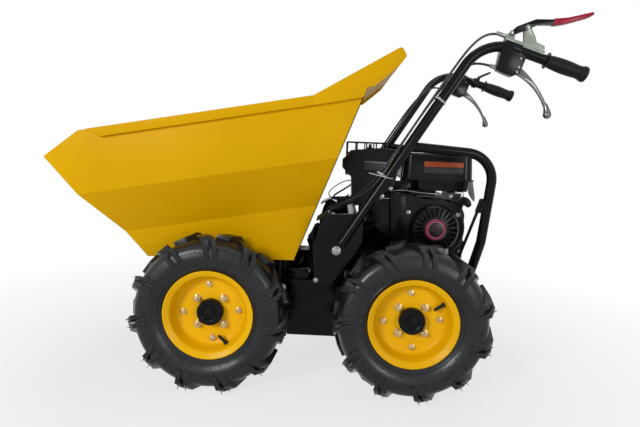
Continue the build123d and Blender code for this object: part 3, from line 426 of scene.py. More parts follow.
def leaned_block(name, out, height, scale):
    """A block turned to the lean of the lugs, on the line along which they lean."""
    bpy.ops.object.select_all(action="DESELECT")
    bpy.ops.mesh.primitive_cube_add(
        size=1, location=(out * sin(LUG_LEAN) / cos(LUG_LEAN), out, height),
        rotation=(0, 0, -LUG_LEAN), scale=scale)
    return place_in_mesh(name)


lug = leaned_block("lug", lug_middle, LUG_BLANK_Z, LUG_BLANK)
LUG_CUTS = [  # a point on each plane, and the way out of the lug
    ((0, LUG_FACE, 0), (0, 1, 0)),
    ((0, -LUG_OVERLAP, 0), (0, -1, 0)),
    ((0, 0, lug_top), (0, 0, 1)),
    ((0, LUG_CREST, lug_top), (0, SHOULDER_DROP, LUG_FACE - LUG_CREST)),
    ((0, 0, LUG_FOOT), (0, 0, -1)),
]
for cut_place, cut_normal in LUG_CUTS:
    edit_all(lug)
    bpy.ops.mesh.bisect(plane_co=cut_place, plane_no=cut_normal, use_fill=True, clear_outer=True)
    bpy.ops.object.mode_set(mode="OBJECT")
slot_cutter = leaned_block("lug_slot", *FORK_PLACE, FORK_SIZE)
apply_modifier(lug, "BOOLEAN", object=slot_cutter, operation="DIFFERENCE", solver="EXACT")
bpy.data.objects.remove(slot_cutter)
break_edges(lug, 0.0016, 35)

HAIR_OUT = 0.053
HAIR_LENGTH = 0.0135
HAIR_SHIFT = 0.0105       # of the two hairs, to each side of the lug's middle line
hair_foot = lug_top - SHOULDER_DROP * (HAIR_OUT - LUG_CREST) / (LUG_FACE - LUG_CREST)
lug_parts = [lug]
for shift in (-HAIR_SHIFT, HAIR_SHIFT):
    bpy.ops.mesh.primitive_cone_add(
        vertices=6, radius1=0.0014, radius2=0.0006, depth=HAIR_LENGTH,
        location=(HAIR_OUT * sin(LUG_LEAN) / cos(LUG_LEAN) + shift, HAIR_OUT,
                  hair_foot + HAIR_LENGTH / 2 - 0.001))
    lug_parts.append(place_in_mesh("hair"))
lug = join(lug_parts, "lug")

# half of the tyre's section, from the bead to the middle of the crown: radius, distance out
SECTION = [(0.103, 0.027), (0.112, 0.0325), (0.118, 0.0365), (0.1205, 0.0405), (0.124, 0.043),
           (0.1262, 0.0452), (0.1275, 0.0444), (0.133, 0.049), (0.142, 0.0531), (0.15, 0.0553),
           (0.158, 0.056), (0.1602, 0.0552), (0.17, 0.0545), (0.179, 0.0508), (0.1858, 0.044),
           (0.1905, 0.034), (0.1932, 0.021), (0.194, 0.0)]
whole_section = [(r, -out) for r, out in SECTION] + [(r, out) for r, out in reversed(SECTION[:-1])]
carcass = spun("carcass", whole_section, 132)

# the mirrored lugs of the second shoulder stand half a pitch round from those of the first
MIRROR_Y = Matrix.Diagonal((1, -1, 1, 1))
half_pitch = pi / LUGS
tyre_parts = [carcass]
for index in range(LUGS):
    turned = Matrix.Rotation(lug_phase + 2 * index * half_pitch, 4, "Y")
    tyre_parts.append(copy_of(lug, "lug", turned))
    turned = Matrix.Rotation(lug_phase + (2 * index + 1) * half_pitch, 4, "Y")
    tyre_parts.append(copy_of(lug, "lug", turned @ MIRROR_Y))
bpy.data.objects.remove(lug)
bpy.ops.mesh.primitive_cone_add(vertices=6, radius1=0.0019, radius2=0.0012, depth=0.004)
nib = place_in_mesh("vent_nib")
VENT_RINGS = [(0.1345, 0.05, 33), (0.169, 0.0552, 22)]  # radius, distance out, how many vent nibs
for ring_r, ring_out, count in VENT_RINGS:
    for index in range(2 * count):
        side = 1 if index % 2 else -1
        turn = 2 * pi * (index + 0.37) / (2 * count)
        nib_place = Matrix.Translation((ring_r * sin(turn), side * ring_out, ring_r * cos(turn)))
        tyre_parts.append(copy_of(nib, "vent_nib", nib_place @ Matrix.Rotation(-side * pi / 2, 4, "X")))
bpy.data.objects.remove(nib)
tyre = join(tyre_parts, "lugged_tyre")

# new black rubber: waxy highlights on the lugs' edges, greyer where it blooms
tyre_rubber = moulded_rubber("moulded tyre rubber", "0B0E11", "171C21", 0.3, 0.34)
for wheel, turn in WHEELS.items():
    handed = Matrix.Identity(4) if wheel.endswith("left") else MIRROR_Y
    wheel_tyre = copy_of(tyre, "lugged_tyre_" + wheel, Matrix.Translation(middle("rim_" + wheel))
                         @ Matrix.Rotation(radians(turn), 4, "Y") @ handed)
    finish_piece(wheel_tyre, tyre_rubber, "wheel_" + wheel)
    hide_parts("tyre_" + wheel)
bpy.data.objects.remove(tyre)
# a brighter, glossier yellow than the skip's
rim_coat = coated_steel("yellow enamelled wheel steel", "F5BC00", "EBB200", 0.3, 0.16, 0.08)
dress(["rim_" + wheel for wheel in WHEELS], rim_coat)


# ---- Wheel bolts, valves and hubs ------------------------------------------------
# Four bolts clamp the two halves of each rim, and four studs with nuts hold it on its hub.
# They are yellow-passivated zinc; the hub is black and carries the bolt of the spindle.

def plated_zinc(name, colour, stain, roughness=0.28):
    """Zinc plate: a soft metal shine with cloudy stains from the passivation."""
    made, tree = start_material(name)
    place = add_node(tree, "TexCoord")
    # the stains are about 17 mm across, as large as a bolt's head
    cloud = add_node(tree, "TexNoise", {"Vector": place.outputs["Object"], "Scale": 60.0, "Detail": 5.0})
    tint = add_node(tree, "Mix", {0: cloud.outputs["Fac"], 6: hex_colour(colour), 7: hex_colour(stain)},
                    data_type="RGBA")
    gloss = add_node(tree, "MapRange", {"Value": cloud.outputs["Fac"], "To Min": roughness - 0.1,
                                        "To Max": roughness + 0.15})
    shader = add_node(tree, "BsdfPrincipled", {
        "Base Color": tint.outputs[2], "Roughness": gloss.outputs[0], "Metallic": 0.9})
    add_node(tree, "OutputMaterial", {"Surface": shader.outputs[0]})
    return made


def turned_disc(radius, depth, place, axis, sides=28, edge=0.0006):
    """A short round or many-sided piece with its edges broken, standing on a place along an axis."""
    direction = Vector(axis).normalized()
    bpy.ops.object.select_all(action="DESELECT")
    bpy.ops.mesh.primitive_cylinder_add(
        vertices=sides, radius=radius, depth=depth, location=Vector(place) + direction * depth / 2,
        rotation=direction.to_track_quat("Z", "Y").to_euler())
    piece = place_in_mesh("disc")
    break_edges(piece, edge, 40)
    return piece


def hex_bolt(place, axis, across, head, washer=None, tip=0.0, tip_radius=0.004):
    """A hexagon head or nut on its washer, with the end of the thread standing out of it."""
    direction = Vector(axis).normalized()
    pieces = [turned_disc(washer or across * 0.72, 0.0016, place, direction, edge=0.0003)]
    head_foot = Vector(place) + direction * 0.0015
    pieces.append(turned_disc(across / 2 / cos(pi / 6), head, head_foot, direction, sides=6, edge=0.0007))
    if tip:
        tip_foot = Vector(place) + direction * (0.0014 + head)
        pieces.append(turned_disc(tip_radius, tip, tip_foot, direction, sides=16, edge=0.0008))
    return join(pieces, "bolt")


def bolt_row(places, y, across, head, washer=None):
    """Like bolts at places of (x, z), in an upright face at y that looks away from the middle."""
    axis = (0, -1 if y < 0 else 1, 0)
    return [hex_bolt((x, y, z), axis, across, head, washer=washer) for x, z in places]


# pale gold with a satin glint
yellow_zinc = plated_zinc("yellow passivated zinc", "D8C294", "A58552", 0.22)
# cool grey, with small bright glints on nuts and washers
bright_zinc = plated_zinc("bright zinc plate", "A2A4A2", "747775")
# dull near-black that takes no highlight
black_rubber = moulded_rubber("black moulded rubber", "0A0B0D", "121518", 0.5, 0.2)
# smooth glossy black
black_enamel = coated_steel("black enamel", "050608", "090B0D", 0.3, 0.13, 0.1)
SPLIT_BOLTS_R = 0.073
SPLIT_BOLTS_TURN = -4
STUDS_R = 0.049
STUDS_TURN = 43
VALVE_R = 0.0955
DISC_FACE = 0.0055        # how far the disc's outer face lies inwards of the wheel's middle
HUB_FACE = 0.013
# turn of each valve's foot round the wheel, and the turn its stem points to
VALVES = {"front_left": (151, 134), "front_right": (40, 44), "rear_left": (58, 56), "rear_right": (200, 205)}
HUB_RING = [(0.0335, 0), (0.0335, 0.002), (0.031, 0.0045), (0.022, 0.0045), (0.0195, 0.003), (0.0195, 0)]
for wheel in WHEELS:
    centre = middle("rim_" + wheel)
    out = -1 if wheel.endswith("left") else 1
    hardware = []
    for index in range(4):
        turn = radians(SPLIT_BOLTS_TURN + 90 * index)
        foot = centre + Vector((SPLIT_BOLTS_R * sin(turn), -out * DISC_FACE, SPLIT_BOLTS_R * cos(turn)))
        hardware.append(hex_bolt(foot, (0, out, 0), 0.013, 0.006, washer=0.0085))
        turn = radians(STUDS_TURN + 90 * index)
        foot = centre + Vector((STUDS_R * sin(turn), -out * DISC_FACE, STUDS_R * cos(turn)))
        hardware.append(hex_bolt(foot, (0, out, 0), 0.017, 0.009, washer=0.0105, tip=0.008,
                                 tip_radius=0.0048))
    finish_piece(join(hardware, "wheel_bolts_" + wheel), yellow_zinc, "wheel_" + wheel)

    foot_turn, stem_turn = [radians(turn) for turn in VALVES[wheel]]
    foot = centre + Vector((VALVE_R * sin(foot_turn), out * 0.008, VALVE_R * cos(foot_turn)))
    inwards = Vector((-sin(stem_turn), 0, -cos(stem_turn)))
    stem = [turned_disc(0.0062, 0.008, foot, inwards, edge=0.002),
            turned_disc(0.0042, 0.027, foot, inwards, edge=0.001),
            turned_disc(0.0036, 0.006, foot + inwards * 0.026, Vector((0, out, 0)) + 2 * inwards, edge=0.001)]
    finish_piece(join(stem, "tyre_valve_" + wheel), black_rubber, "wheel_" + wheel)

    hub_face = centre + Vector((0, out * HUB_FACE, 0))
    ring = spun("hub_ring_" + wheel, HUB_RING, 48, closed=True)
    ring.data.transform(Matrix.Translation(hub_face) @ (Matrix.Identity(4) if out > 0 else MIRROR_Y))
    if out < 0:
        ring.data.flip_normals()
    spindle_bolt = hex_bolt(hub_face, (0, out, 0), 0.019, 0.005, washer=0.0135, tip=0.002, tip_radius=0.006)
    hub_cap = join([ring, spindle_bolt], "hub_cap_" + wheel)
    finish_piece(hub_cap, black_enamel, "wheel_" + wheel)
dress(["hub_" + wheel for wheel in WHEELS] + ["axles"], black_enamel)


# ---- Chassis, handle plates and linkage ------------------------------------------
# A welded frame of 8 mm plate carries the axles, the gearbox and the skip's hinge pins. Bolted
# plates hold the handlebars; a latch, levers and a bracket for the cables stand between them.

def plate(name, outline, near, far, edge=0.0004):
    """A flat piece cut to an outline of (x, z), from one y to another, with its edges broken."""
    piece = drawn(name, [(x, near, z) for x, z in outline] + [(outline[0][0], near, outline[0][1])])
    edit_all(piece)
    bpy.ops.mesh.remove_doubles(threshold=0.00001)
    bpy.ops.mesh.edge_face_add()
    bpy.ops.mesh.extrude_region_move(TRANSFORM_OT_translate={"value": (0, far - near, 0)})
    bpy.ops.mesh.select_all(action="SELECT")
    bpy.ops.mesh.normals_make_consistent(inside=False)
    bpy.ops.object.mode_set(mode="OBJECT")
    break_edges(piece, edge, 30)
    return piece


# deep glossy black with sharp highlights along tubes and folds
black_coat = coated_steel("black powder-coated steel", "040507", "080B0E", 0.2, 0.13, 0.1)
# rough, greyish black
castings = coated_steel("painted gearbox casting", "0A0A0B", "101112", 0.55, 0.15, 0.8)
for node, edge in (("chassis_frame", 0.001), ("handle_plates", 0.0012), ("skip_latch", 0.001)):
    softened(node, edge, black_coat, "chassis")
softened("transmission", 0.004, castings, "chassis")
softened("belt_cover", 0.005, black_coat, "chassis")
dress(["guard_left", "guard_right", "handlebars"], black_coat)
dress(["skip_buffers"], black_rubber)
dress(["skip_pivot_pin"], bright_zinc)

PLATE_FACE = 0.2515
TAB_FACE = 0.2575
RAIL_FACE = 0.158
BAR_NUT = (0.0846, 0.3824)
PLATE_SCREW = (0.0343, 0.3009)
RAIL_BOLTS = [(-0.062, 0.252), (-0.062, 0.2), (0.128, 0.252), (0.128, 0.2), (0.415, 0.25),
              (-0.16, 0.252), (-0.3, 0.2)]
BED_BOLTS = [(0.255, 0.088, 0.325), (0.44, 0.088, 0.325)]
GEARBOX_PLUG = (0.024, 0, 0.116)
frame_bolts = []
for out in (-1, 1):
    frame_bolts.append(hex_bolt((BAR_NUT[0], out * TAB_FACE, BAR_NUT[1]), (0, out, 0), 0.016, 0.0085,
                                washer=0.0118, tip=0.003, tip_radius=0.0045))
    frame_bolts.append(hex_bolt((PLATE_SCREW[0], out * PLATE_FACE, PLATE_SCREW[1]), (0, out, 0), 0.0085,
                                0.0035, washer=0.0062))
    frame_bolts += bolt_row(RAIL_BOLTS, out * RAIL_FACE, 0.015, 0.006, washer=0.011)
    for x, y, z in BED_BOLTS:
        frame_bolts.append(hex_bolt((x, out * y, z), (0, 0, 1), 0.013, 0.006, washer=0.01))
frame_bolts.append(hex_bolt(GEARBOX_PLUG, (0, 0, -1), 0.017, 0.006, washer=0.012))
finish_piece(join(frame_bolts, "frame_bolts"), bright_zinc, "chassis")

# the linkage inside the left handle plate: curved arm, bracket, hook and the gearbox lever
arm = plate("latch_arm", [(-0.005, 0.341), (-0.021, 0.318), (-0.037, 0.288), (-0.039, 0.283), (-0.027, 0.288),
                          (-0.002, 0.329)], -0.124, -0.118)
hook = plate("latch_hook", [(0.002, 0.39), (0.027, 0.426), (0.033, 0.417), (0.024, 0.389), (0.016, 0.381)],
             -0.104, -0.098)
gear_lever = plate("gearbox_lever", [(0.037, 0.466), (0.057, 0.475), (0.082, 0.462), (0.06, 0.459),
                                     (0.056, 0.45), (0.079, 0.442), (0.05, 0.444)], -0.185, -0.178)
spindle = turned_disc(0.007, 0.02, (0.066, -0.178, 0.452), (0, 1, 0))
finish_piece(join([arm, hook, gear_lever, spindle], "linkage"), black_coat, "chassis")
bracket = plate("linkage_bracket", [(-0.018, 0.355), (0.011, 0.355), (0.011, 0.366), (-0.018, 0.366)],
                -0.126, -0.12)
pins = [bracket, hex_bolt((0.006, -0.126, 0.295), (0, -1, 0), 0.01, 0.005, washer=0.008),
        hex_bolt((-0.004, -0.126, 0.3605), (0, -1, 0), 0.006, 0.003),
        hex_bolt((0.066, -0.185, 0.452), (0, -1, 0), 0.01, 0.004)]
finish_piece(join(pins, "linkage_bracket"), bright_zinc, "chassis")

# flat bars stand on the rails beside the engine bed, with a gusset in front of each
BED_BAR = [(0.136, 0.27), (0.462, 0.27), (0.462, 0.3), (0.43, 0.322), (0.16, 0.322), (0.136, 0.3)]
BED_GUSSET = [(-0.062, 0.262), (0.01, 0.262), (0.01, 0.306), (-0.046, 0.306)]
BED_BAR_OUTSIDE = 0.15
BED_BAR_INSIDE = 0.1465
for out, word in ((-1, "left"), (1, "right")):
    bar = plate("bed_side_" + word, BED_BAR, out * BED_BAR_OUTSIDE, out * BED_BAR_INSIDE)
    gusset = plate("bed_gusset", BED_GUSSET, out * BED_BAR_OUTSIDE, out * BED_BAR_INSIDE)
    finish_piece(join([bar, gusset], "bed_side_" + word), black_coat, "chassis")

# thin washers at both ends of the hinge pin
WASHER_R = 0.0125
WASHER_THICK = 0.0015
pin_low, pin_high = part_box("skip_pivot_pin")
pin_middle = middle("skip_pivot_pin")
washers = []
for out, end in ((-1, pin_low.y), (1, pin_high.y)):
    washers.append(turned_disc(WASHER_R, WASHER_THICK, (pin_middle.x, end, pin_middle.z), (0, -out, 0)))
finish_piece(join(washers, "pivot_washers"), bright_zinc, "chassis")


# ---- Engine ----------------------------------------------------------------------
# A small air-cooled petrol engine. Its castings are painted matt black, its fan cover and
# starter are pressed steel, its bolts and rods are bright zinc and its governor is dark zinc.

# matt black with the grain of sand castings
engine_paint = coated_steel("heat-proof engine paint on castings", "08090A", "0E0F10", 0.5, 0.14, 0.9)
# smooth black with broad soft highlights
cover_paint = coated_steel("satin black stove enamel", "07080A", "0C0D10", 0.26, 0.16, 0.1)
softened("engine_block", 0.0015, engine_paint, "chassis")
softened("fan_cover", 0.0012, cover_paint, "chassis")
softened("recoil_starter", 0.0006, cover_paint, "chassis")
dress(["carburettor"], engine_paint)
# dull dark grey metal
control_zinc = plated_zinc("dark passivated zinc", "4A4B49", "2E2F2D", 0.4)
dress(["engine_controls"], control_zinc)
CRANK = (0.357, 0.431)
FAN_FACE = 0.123
CRANKCASE_FACE = 0.095
engine_bolts = bolt_row([(0.2828, 0.4731), (0.4208, 0.4718)], -FAN_FACE, 0.008, 0.004, washer=0.0062)
engine_bolts += bolt_row([(0.33, 0.345), (0.44, 0.36), (0.28, 0.345)], -CRANKCASE_FACE, 0.011, 0.006,
                         washer=0.008)
finish_piece(join(engine_bolts, "engine_bolts"), bright_zinc, "chassis")

# the rolled ring round the starter's slots
STARTER_RING = [(0.066, 0), (0.0672, -0.0008), (0.0672, 0.003), (0.066, 0.003)]
ring = spun("starter_ring", STARTER_RING, 72, closed=True)
ring.data.transform(Matrix.Translation((CRANK[0], -FAN_FACE - 0.0025, CRANK[1])))
finish_piece(ring, cover_paint, "chassis")

# a blank round badge: a crimson rim, a thin pale line and a near-black middle
badge_enamel = coated_steel("crimson enamelled badge", "7E1F3A", "6E1A33", 0.3, 0.4, 0.05)
badge_dark = coated_steel("dark maroon badge centre", "1F0D14", "281019", 0.35, 0.3, 0.05)
badge_line = coated_steel("silvered badge line", "B98C9C", "A37486", 0.35, 0.4, 0.05)
dress(["recoil_badge"], badge_enamel)
BADGE_FACE = 0.15
BADGE_DISCS = [("badge_line", 0.0222, 0.0003, badge_line), ("badge_centre", 0.0212, 0.0005, badge_dark)]
for name, radius, high, finish in BADGE_DISCS:
    disc = turned_disc(radius, high, (CRANK[0], -BADGE_FACE, CRANK[1]), (0, -1, 0), sides=64, edge=0.0001)
    finish_piece(disc, finish, "chassis")

# black with a low, waxy shine
starter_plastic = moulded_rubber("moulded black nylon", "07080A", "0C0E10", 0.3, 0.2)
softened("starter_grip", 0.0035, starter_plastic, "chassis")

# governor arm, throttle rod and its return spring over the fan cover
RODS = [  # name, radius, finish, line
    ("governor_rod", 0.0011, control_zinc, [
        (0.386, -0.14, 0.531), (0.404, -0.141, 0.536), (0.426, -0.141, 0.538), (0.43, -0.14, 0.528),
        (0.411, -0.14, 0.511), (0.392, -0.138, 0.514)]),
    ("throttle_rod", 0.0013, bright_zinc, [
        (0.232, -0.112, 0.53), (0.262, -0.118, 0.536), (0.3, -0.122, 0.53), (0.34, -0.122, 0.528),
        (0.372, -0.118, 0.526)]),
    ("choke_rod", 0.0016, bright_zinc, [
        (0.196, -0.096, 0.5), (0.214, -0.112, 0.512), (0.236, -0.112, 0.508)]),
]
for name, radius, finish, line in RODS:
    rod(name, line, radius, finish, "chassis")
SPRING_START = Vector((0.3, -0.124, 0.52))
SPRING_R = 0.003
SPRING_PITCH = 0.0052
QUARTER_TURNS = 44
spring = []
for quarter in range(QUARTER_TURNS):
    turn = pi * quarter / 2
    along = SPRING_PITCH * quarter / 4
    spring.append(SPRING_START + Vector((along, SPRING_R * cos(turn), SPRING_R * sin(turn))))
rod("governor_spring", spring, 0.0005, bright_zinc, "chassis")
control_bits = [turned_disc(0.0055, 0.012, (0.229, -0.118, 0.538), (0, -1, 0)),
                hex_bolt((0.207, -0.112, 0.514), (0, -1, 0), 0.01, 0.006),
                turned_disc(0.005, 0.012, (0.166, -0.064, 0.45), (0, 0, -1), edge=0.001),
                hex_bolt((0.4, -0.113, 0.521), (0, -1, 0), 0.008, 0.004)]
finish_piece(join(control_bits, "carburettor_screws"), bright_zinc, "chassis")

# the governor's plate stands between the carburettor and the tank
governor_plate = plate("governor_plate", [
    (0.24, 0.5), (0.24, 0.5565), (0.2625, 0.5575), (0.2665, 0.612), (0.3, 0.612), (0.33, 0.56),
    (0.33, 0.5)], -0.06, -0.057, 0.0006)
choke_lever = plate("choke_lever", [
    (0.262, 0.512), (0.262, 0.548), (0.285, 0.556), (0.292, 0.54), (0.276, 0.534), (0.276, 0.512)],
    -0.09, -0.086, 0.0006)
finish_piece(join([governor_plate, choke_lever], "governor_plate"), cover_paint, "chassis")

# cast ribs on the back of the crankcase, and the bolts of the belt cover
ribs = []
for y in (-0.072, -0.044, 0.016, 0.044, 0.072):
    ribs.append(plate("crankcase_rib", [(0.444, 0.372), (0.4495, 0.378), (0.4495, 0.452), (0.444, 0.462)],
                      y - 0.002, y + 0.002, 0.001))
ribs.append(plate("crankcase_flange", [(0.444, 0.346), (0.448, 0.346), (0.448, 0.36), (0.444, 0.36)],
                  -0.09, 0.09, 0.001))
finish_piece(join(ribs, "crankcase_ribs"), engine_paint, "chassis")
BELT_COVER_FACE = 0.15
COVER_BOLTS = [(0.357, 0.494), (0.414, 0.395), (0.357, 0.368), (0.06, 0.377), (0.015, 0.32),
               (0.06, 0.284), (0.21, 0.431), (0.21, 0.33)]
cover_bolts = bolt_row(COVER_BOLTS, BELT_COVER_FACE, 0.01, 0.005, washer=0.0085)
crank_cap = (CRANK[0], BELT_COVER_FACE, CRANK[1])
cover_bolts.append(turned_disc(0.02, 0.003, crank_cap, (0, 1, 0), sides=40, edge=0.001))
finish_piece(join(cover_bolts, "belt_cover_bolts"), bright_zinc, "chassis")

# oil plug, drain plug, and the bolts of the rocker cover on the tilted cylinder
CYLINDER_TILT = radians(25)
cylinder_axis = Vector((-cos(CYLINDER_TILT), 0, sin(CYLINDER_TILT)))
HEAD_DISTANCE = 0.186     # from the crank to the rocker cover's face
across_head = Vector((0, 1, 0))
up_head = cylinder_axis.cross(across_head)
head_face = Vector((CRANK[0], 0, CRANK[1])) + cylinder_axis * HEAD_DISTANCE
rocker = []
for side in (-1, 1):
    for level in (-1, 1):
        foot = head_face + across_head * side * 0.034 + up_head * level * 0.031
        rocker.append(hex_bolt(foot, cylinder_axis, 0.01, 0.005, washer=0.008))
rocker.append(hex_bolt((0.446, 0.045, 0.35), (1, 0, 0), 0.013, 0.007))
finish_piece(join(rocker, "rocker_bolts"), bright_zinc, "chassis")
oil_plug = [turned_disc(0.012, 0.008, (0.446, -0.04, 0.372), (1, 0, 0.4), edge=0.002),
            turned_disc(0.009, 0.012, (0.452, -0.04, 0.376), (1, 0, 0.4), sides=8, edge=0.002)]
finish_piece(join(oil_plug, "oil_plug"), starter_plastic, "chassis")


# ---- Air cleaner, tank and muffler -----------------------------------------------
# The air cleaner is a ribbed plastic box on the carburettor; the pressed steel tank has a
# rolled seam and two blank plates; a cage keeps hands off the heat-proof black muffler.

# black with a soft, even sheen
cleaner_plastic = moulded_rubber("moulded black polypropylene", "090A0C", "101214", 0.36, 0.2)
softened("air_cleaner", 0.0022, cleaner_plastic, "chassis")
CLEANER_FACE = -0.11
# a blank label: dark grey foil with one lighter strip above it
blank_label = coated_steel("blank grey printed foil", "3A3C40", "333539", 0.4, 0.3, 0.05)
pale_label = coated_steel("pale strip of printed foil", "8E9196", "7E8186", 0.4, 0.3, 0.05)
LABEL_THICK = 0.0006
LABELS = [
    ("cleaner_label", [(0.154, 0.587), (0.22, 0.587), (0.22, 0.606), (0.154, 0.606)], blank_label),
    ("cleaner_label_strip", [(0.154, 0.6075), (0.22, 0.6055), (0.22, 0.6095), (0.154, 0.6115)], pale_label),
]
for name, outline, finish in LABELS:
    label = plate(name, outline, CLEANER_FACE, CLEANER_FACE - LABEL_THICK, 0.0002)
    finish_piece(label, finish, "chassis")
cleaner_seam = [(0.1, 0.5905), (0.248, 0.579), (0.2475, 0.5755), (0.1, 0.5865)]
seam_band = plate("cleaner_seam", cleaner_seam, CLEANER_FACE + 0.004, CLEANER_FACE - 0.0012, 0.0004)
clips = bolt_row([(0.112, 0.596), (0.241, 0.586)], CLEANER_FACE, 0.007, 0.003, washer=0.006)
wing = [turned_disc(0.0085, 0.004, (0.172, -0.05, 0.6455), (0, 0, 1), edge=0.001),
        turned_disc(0.0048, 0.01, (0.172, -0.05, 0.649), (0, 0, 1), edge=0.001)]
fittings = join([seam_band] + clips + wing, "cleaner_fittings")
finish_piece(fittings, cleaner_plastic, "chassis")

# blue-black gloss that mirrors the soft boxes
tank_gloss = coated_steel("gloss black stoved tank enamel", "06080B", "0A0D11", 0.22, 0.16, 0.08)
dress(["fuel_tank"], tank_gloss)
# two blank plates: burnt orange above, dark grey below
orange_label = coated_steel("blank orange printed foil", "B4501E", "9C4218", 0.4, 0.3, 0.05)
grey_label = coated_steel("blank dark grey printed foil", "2C2F33", "26282C", 0.4, 0.3, 0.05)
TANK_SEAM = (0, -0.114, 0.567)
TANK_LEAN = radians(3.5)
TANK_PLATES = [  # name, foot, top, finish
    ("tank_plate_upper", 0.602, 0.6165, orange_label),
    ("tank_plate_lower", 0.585, 0.601, grey_label),
]
for name, low, high, finish in TANK_PLATES:
    label = plate(name, [(0.3205, low), (0.4295, low), (0.4295, high), (0.3205, high)],
                  TANK_SEAM[1] - 0.0005, TANK_SEAM[1] + 0.001, 0.0002)
    label.data.transform(Matrix.Translation(TANK_SEAM) @ Matrix.Rotation(-TANK_LEAN, 4, "X")
                         @ Matrix.Translation([-c for c in TANK_SEAM]))
    finish_piece(label, finish, "chassis")
softened("fuel_cap", 0.0015, starter_plastic, "chassis")
tank_tab = plate("tank_tab", [
    (0.464, 0.566), (0.4785, 0.566), (0.4841, 0.5395), (0.4893, 0.5131), (0.4886, 0.502),
    (0.4815, 0.506), (0.4732, 0.5183), (0.468, 0.5271)], -0.031, -0.03, 0.0003)
# the pale grey tab below the tank's rear edge
tab_plastic = moulded_rubber("light grey moulded plastic", "8E8E8C", "7E7E7C", 0.45, 0.3)
finish_piece(tank_tab, tab_plastic, "chassis")

# dusty, warm black without highlights
hot_black = coated_steel("heat-proof matt black", "0C0B0B", "171412", 0.7, 0.2, 0.6)
softened("muffler", 0.002, hot_black, "chassis")
softened("muffler_cage", 0.0009, hot_black, "chassis")
MUFFLER_FACE = 0.112
MUFFLER_BOLTS = [(0.132, 0.63), (0.198, 0.63), (0.132, 0.582), (0.198, 0.582)]
muffler_bolts = bolt_row(MUFFLER_BOLTS, MUFFLER_FACE, 0.008, 0.004, washer=0.0065)
finish_piece(join(muffler_bolts, "muffler_bolts"), hot_black, "chassis")


# ---- Handlebars and guards -------------------------------------------------------
# Both are bent from 25 mm steel tube and powder coated. White ties hold the cables to the
# left bar, and moulded rubber grips are pushed onto the ends.

BAR_Y = 0.264
BAR_FOOT = (0.085, 0.383)
BAR_APEX = (0.419, 0.921)
BAR_DROP = radians(17.6)
BAR_RISE = atan2(BAR_APEX[1] - BAR_FOOT[1], BAR_APEX[0] - BAR_FOOT[0])
# milky white bands that stand out on the black tube
white_nylon = moulded_rubber("white nylon cable tie", "B9BBBA", "A6A8A7", 0.4, 0.3)
TIE = [(0.0158, -0.0022), (0.017, -0.0022), (0.017, 0.0022), (0.0158, 0.0022)]
for word, (x, z), centre_y in (("upper", (0.3225, 0.7696), -0.261), ("lower", (0.193, 0.581), -0.2625)):
    tie = spun("cable_tie_" + word, TIE, 40, closed=True)
    tie.data.transform(Matrix.Translation((x, centre_y, z)) @ Matrix.Rotation(-BAR_RISE, 4, "Y")
                       @ Matrix.Rotation(-pi / 2, 4, "Z"))
    parts = [tie]
    bpy.ops.object.select_all(action="DESELECT")
    bpy.ops.mesh.primitive_cube_add(size=1, location=(x - 0.004, centre_y - 0.018, z + 0.003),
                                    rotation=(0, -BAR_RISE, 0), scale=(0.006, 0.004, 0.006))
    head = place_in_mesh("tie_head")
    apply_modifier(head, "BEVEL", width=0.001, segments=2)
    parts.append(head)
    if word == "lower":
        parts.append(plate("tie_tail", [(0.156, 0.585), (0.157, 0.5868), (0.192, 0.58), (0.217, 0.574),
                                        (0.2165, 0.5724), (0.19, 0.578)], -0.28, -0.279, 0.0002))
    finish_piece(join(parts, "cable_tie_" + word), white_nylon, "chassis")

# the grips: a flange at each end, and fine ribs on a body that swells in the middle
GRIP_X = 0.57
grip_start = Vector((GRIP_X, 0, BAR_APEX[1] - (GRIP_X - BAR_APEX[0]) * sin(BAR_DROP) / cos(BAR_DROP)))
RIBS = 15
RIB_PITCH = 0.0042
RIB_HIGH = 0.0005
grip_ribs = []
for index in range(RIBS):
    along = 0.012 + index * RIB_PITCH
    waist = 0.0149 + 0.0024 * sin(pi * (index + 1) / 18)
    crest = waist + RIB_HIGH
    grip_ribs += [(waist, along), (crest, along + 0.0007), (crest, along + 0.0026), (waist, along + 0.0033)]
GRIP_FRONT = [(0.0, 0.0004), (0.0128, 0.0004), (0.019, 0.0006), (0.02, 0.0014), (0.0196, 0.003),
              (0.0158, 0.0042), (0.0148, 0.008)]
GRIP_END = [(0.0161, 0.079), (0.0164, 0.088), (0.0188, 0.0935), (0.0194, 0.098), (0.0178, 0.1028),
            (0.014, 0.1046), (0.0, 0.1048)]
# dull black, with thin light lines along the ribs
grip_rubber = moulded_rubber("ribbed grip rubber", "080A0C", "10151A", 0.42, 0.16)
for side, word in ((-1, "left"), (1, "right")):
    grip = spun("grip_" + word, GRIP_FRONT + grip_ribs + GRIP_END, 48)
    grip.data.transform(Matrix.Translation(grip_start + Vector((0, side * BAR_Y, 0)))
                        @ Matrix.Rotation(BAR_DROP, 4, "Y") @ Matrix.Rotation(-pi / 2, 4, "Z"))
    finish_piece(grip, grip_rubber, "chassis")
    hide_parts("grips")

# a small black nut holds the tab of each guard
GUARD_TAB_FACE = 0.2255
guard_bolts = []
for out in (-1, 1):
    guard_bolts += bolt_row([(0.459, 0.512)], out * GUARD_TAB_FACE, 0.009, 0.004)
finish_piece(join(guard_bolts, "guard_bolts"), black_enamel, "chassis")


# ---- Levers and their housings ---------------------------------------------------
# The clutch lever is a folded steel strap in a plated bracket, with a red vinyl sleeve. The
# brake levers are polished aluminium, in black moulded housings on the bars.

# wet-looking black with small sharp highlights
housing_plastic = moulded_rubber("glossy black moulded nylon", "04060A", "080B0F", 0.2, 0.16)
softened("lever_housings", 0.0022, housing_plastic, "chassis")
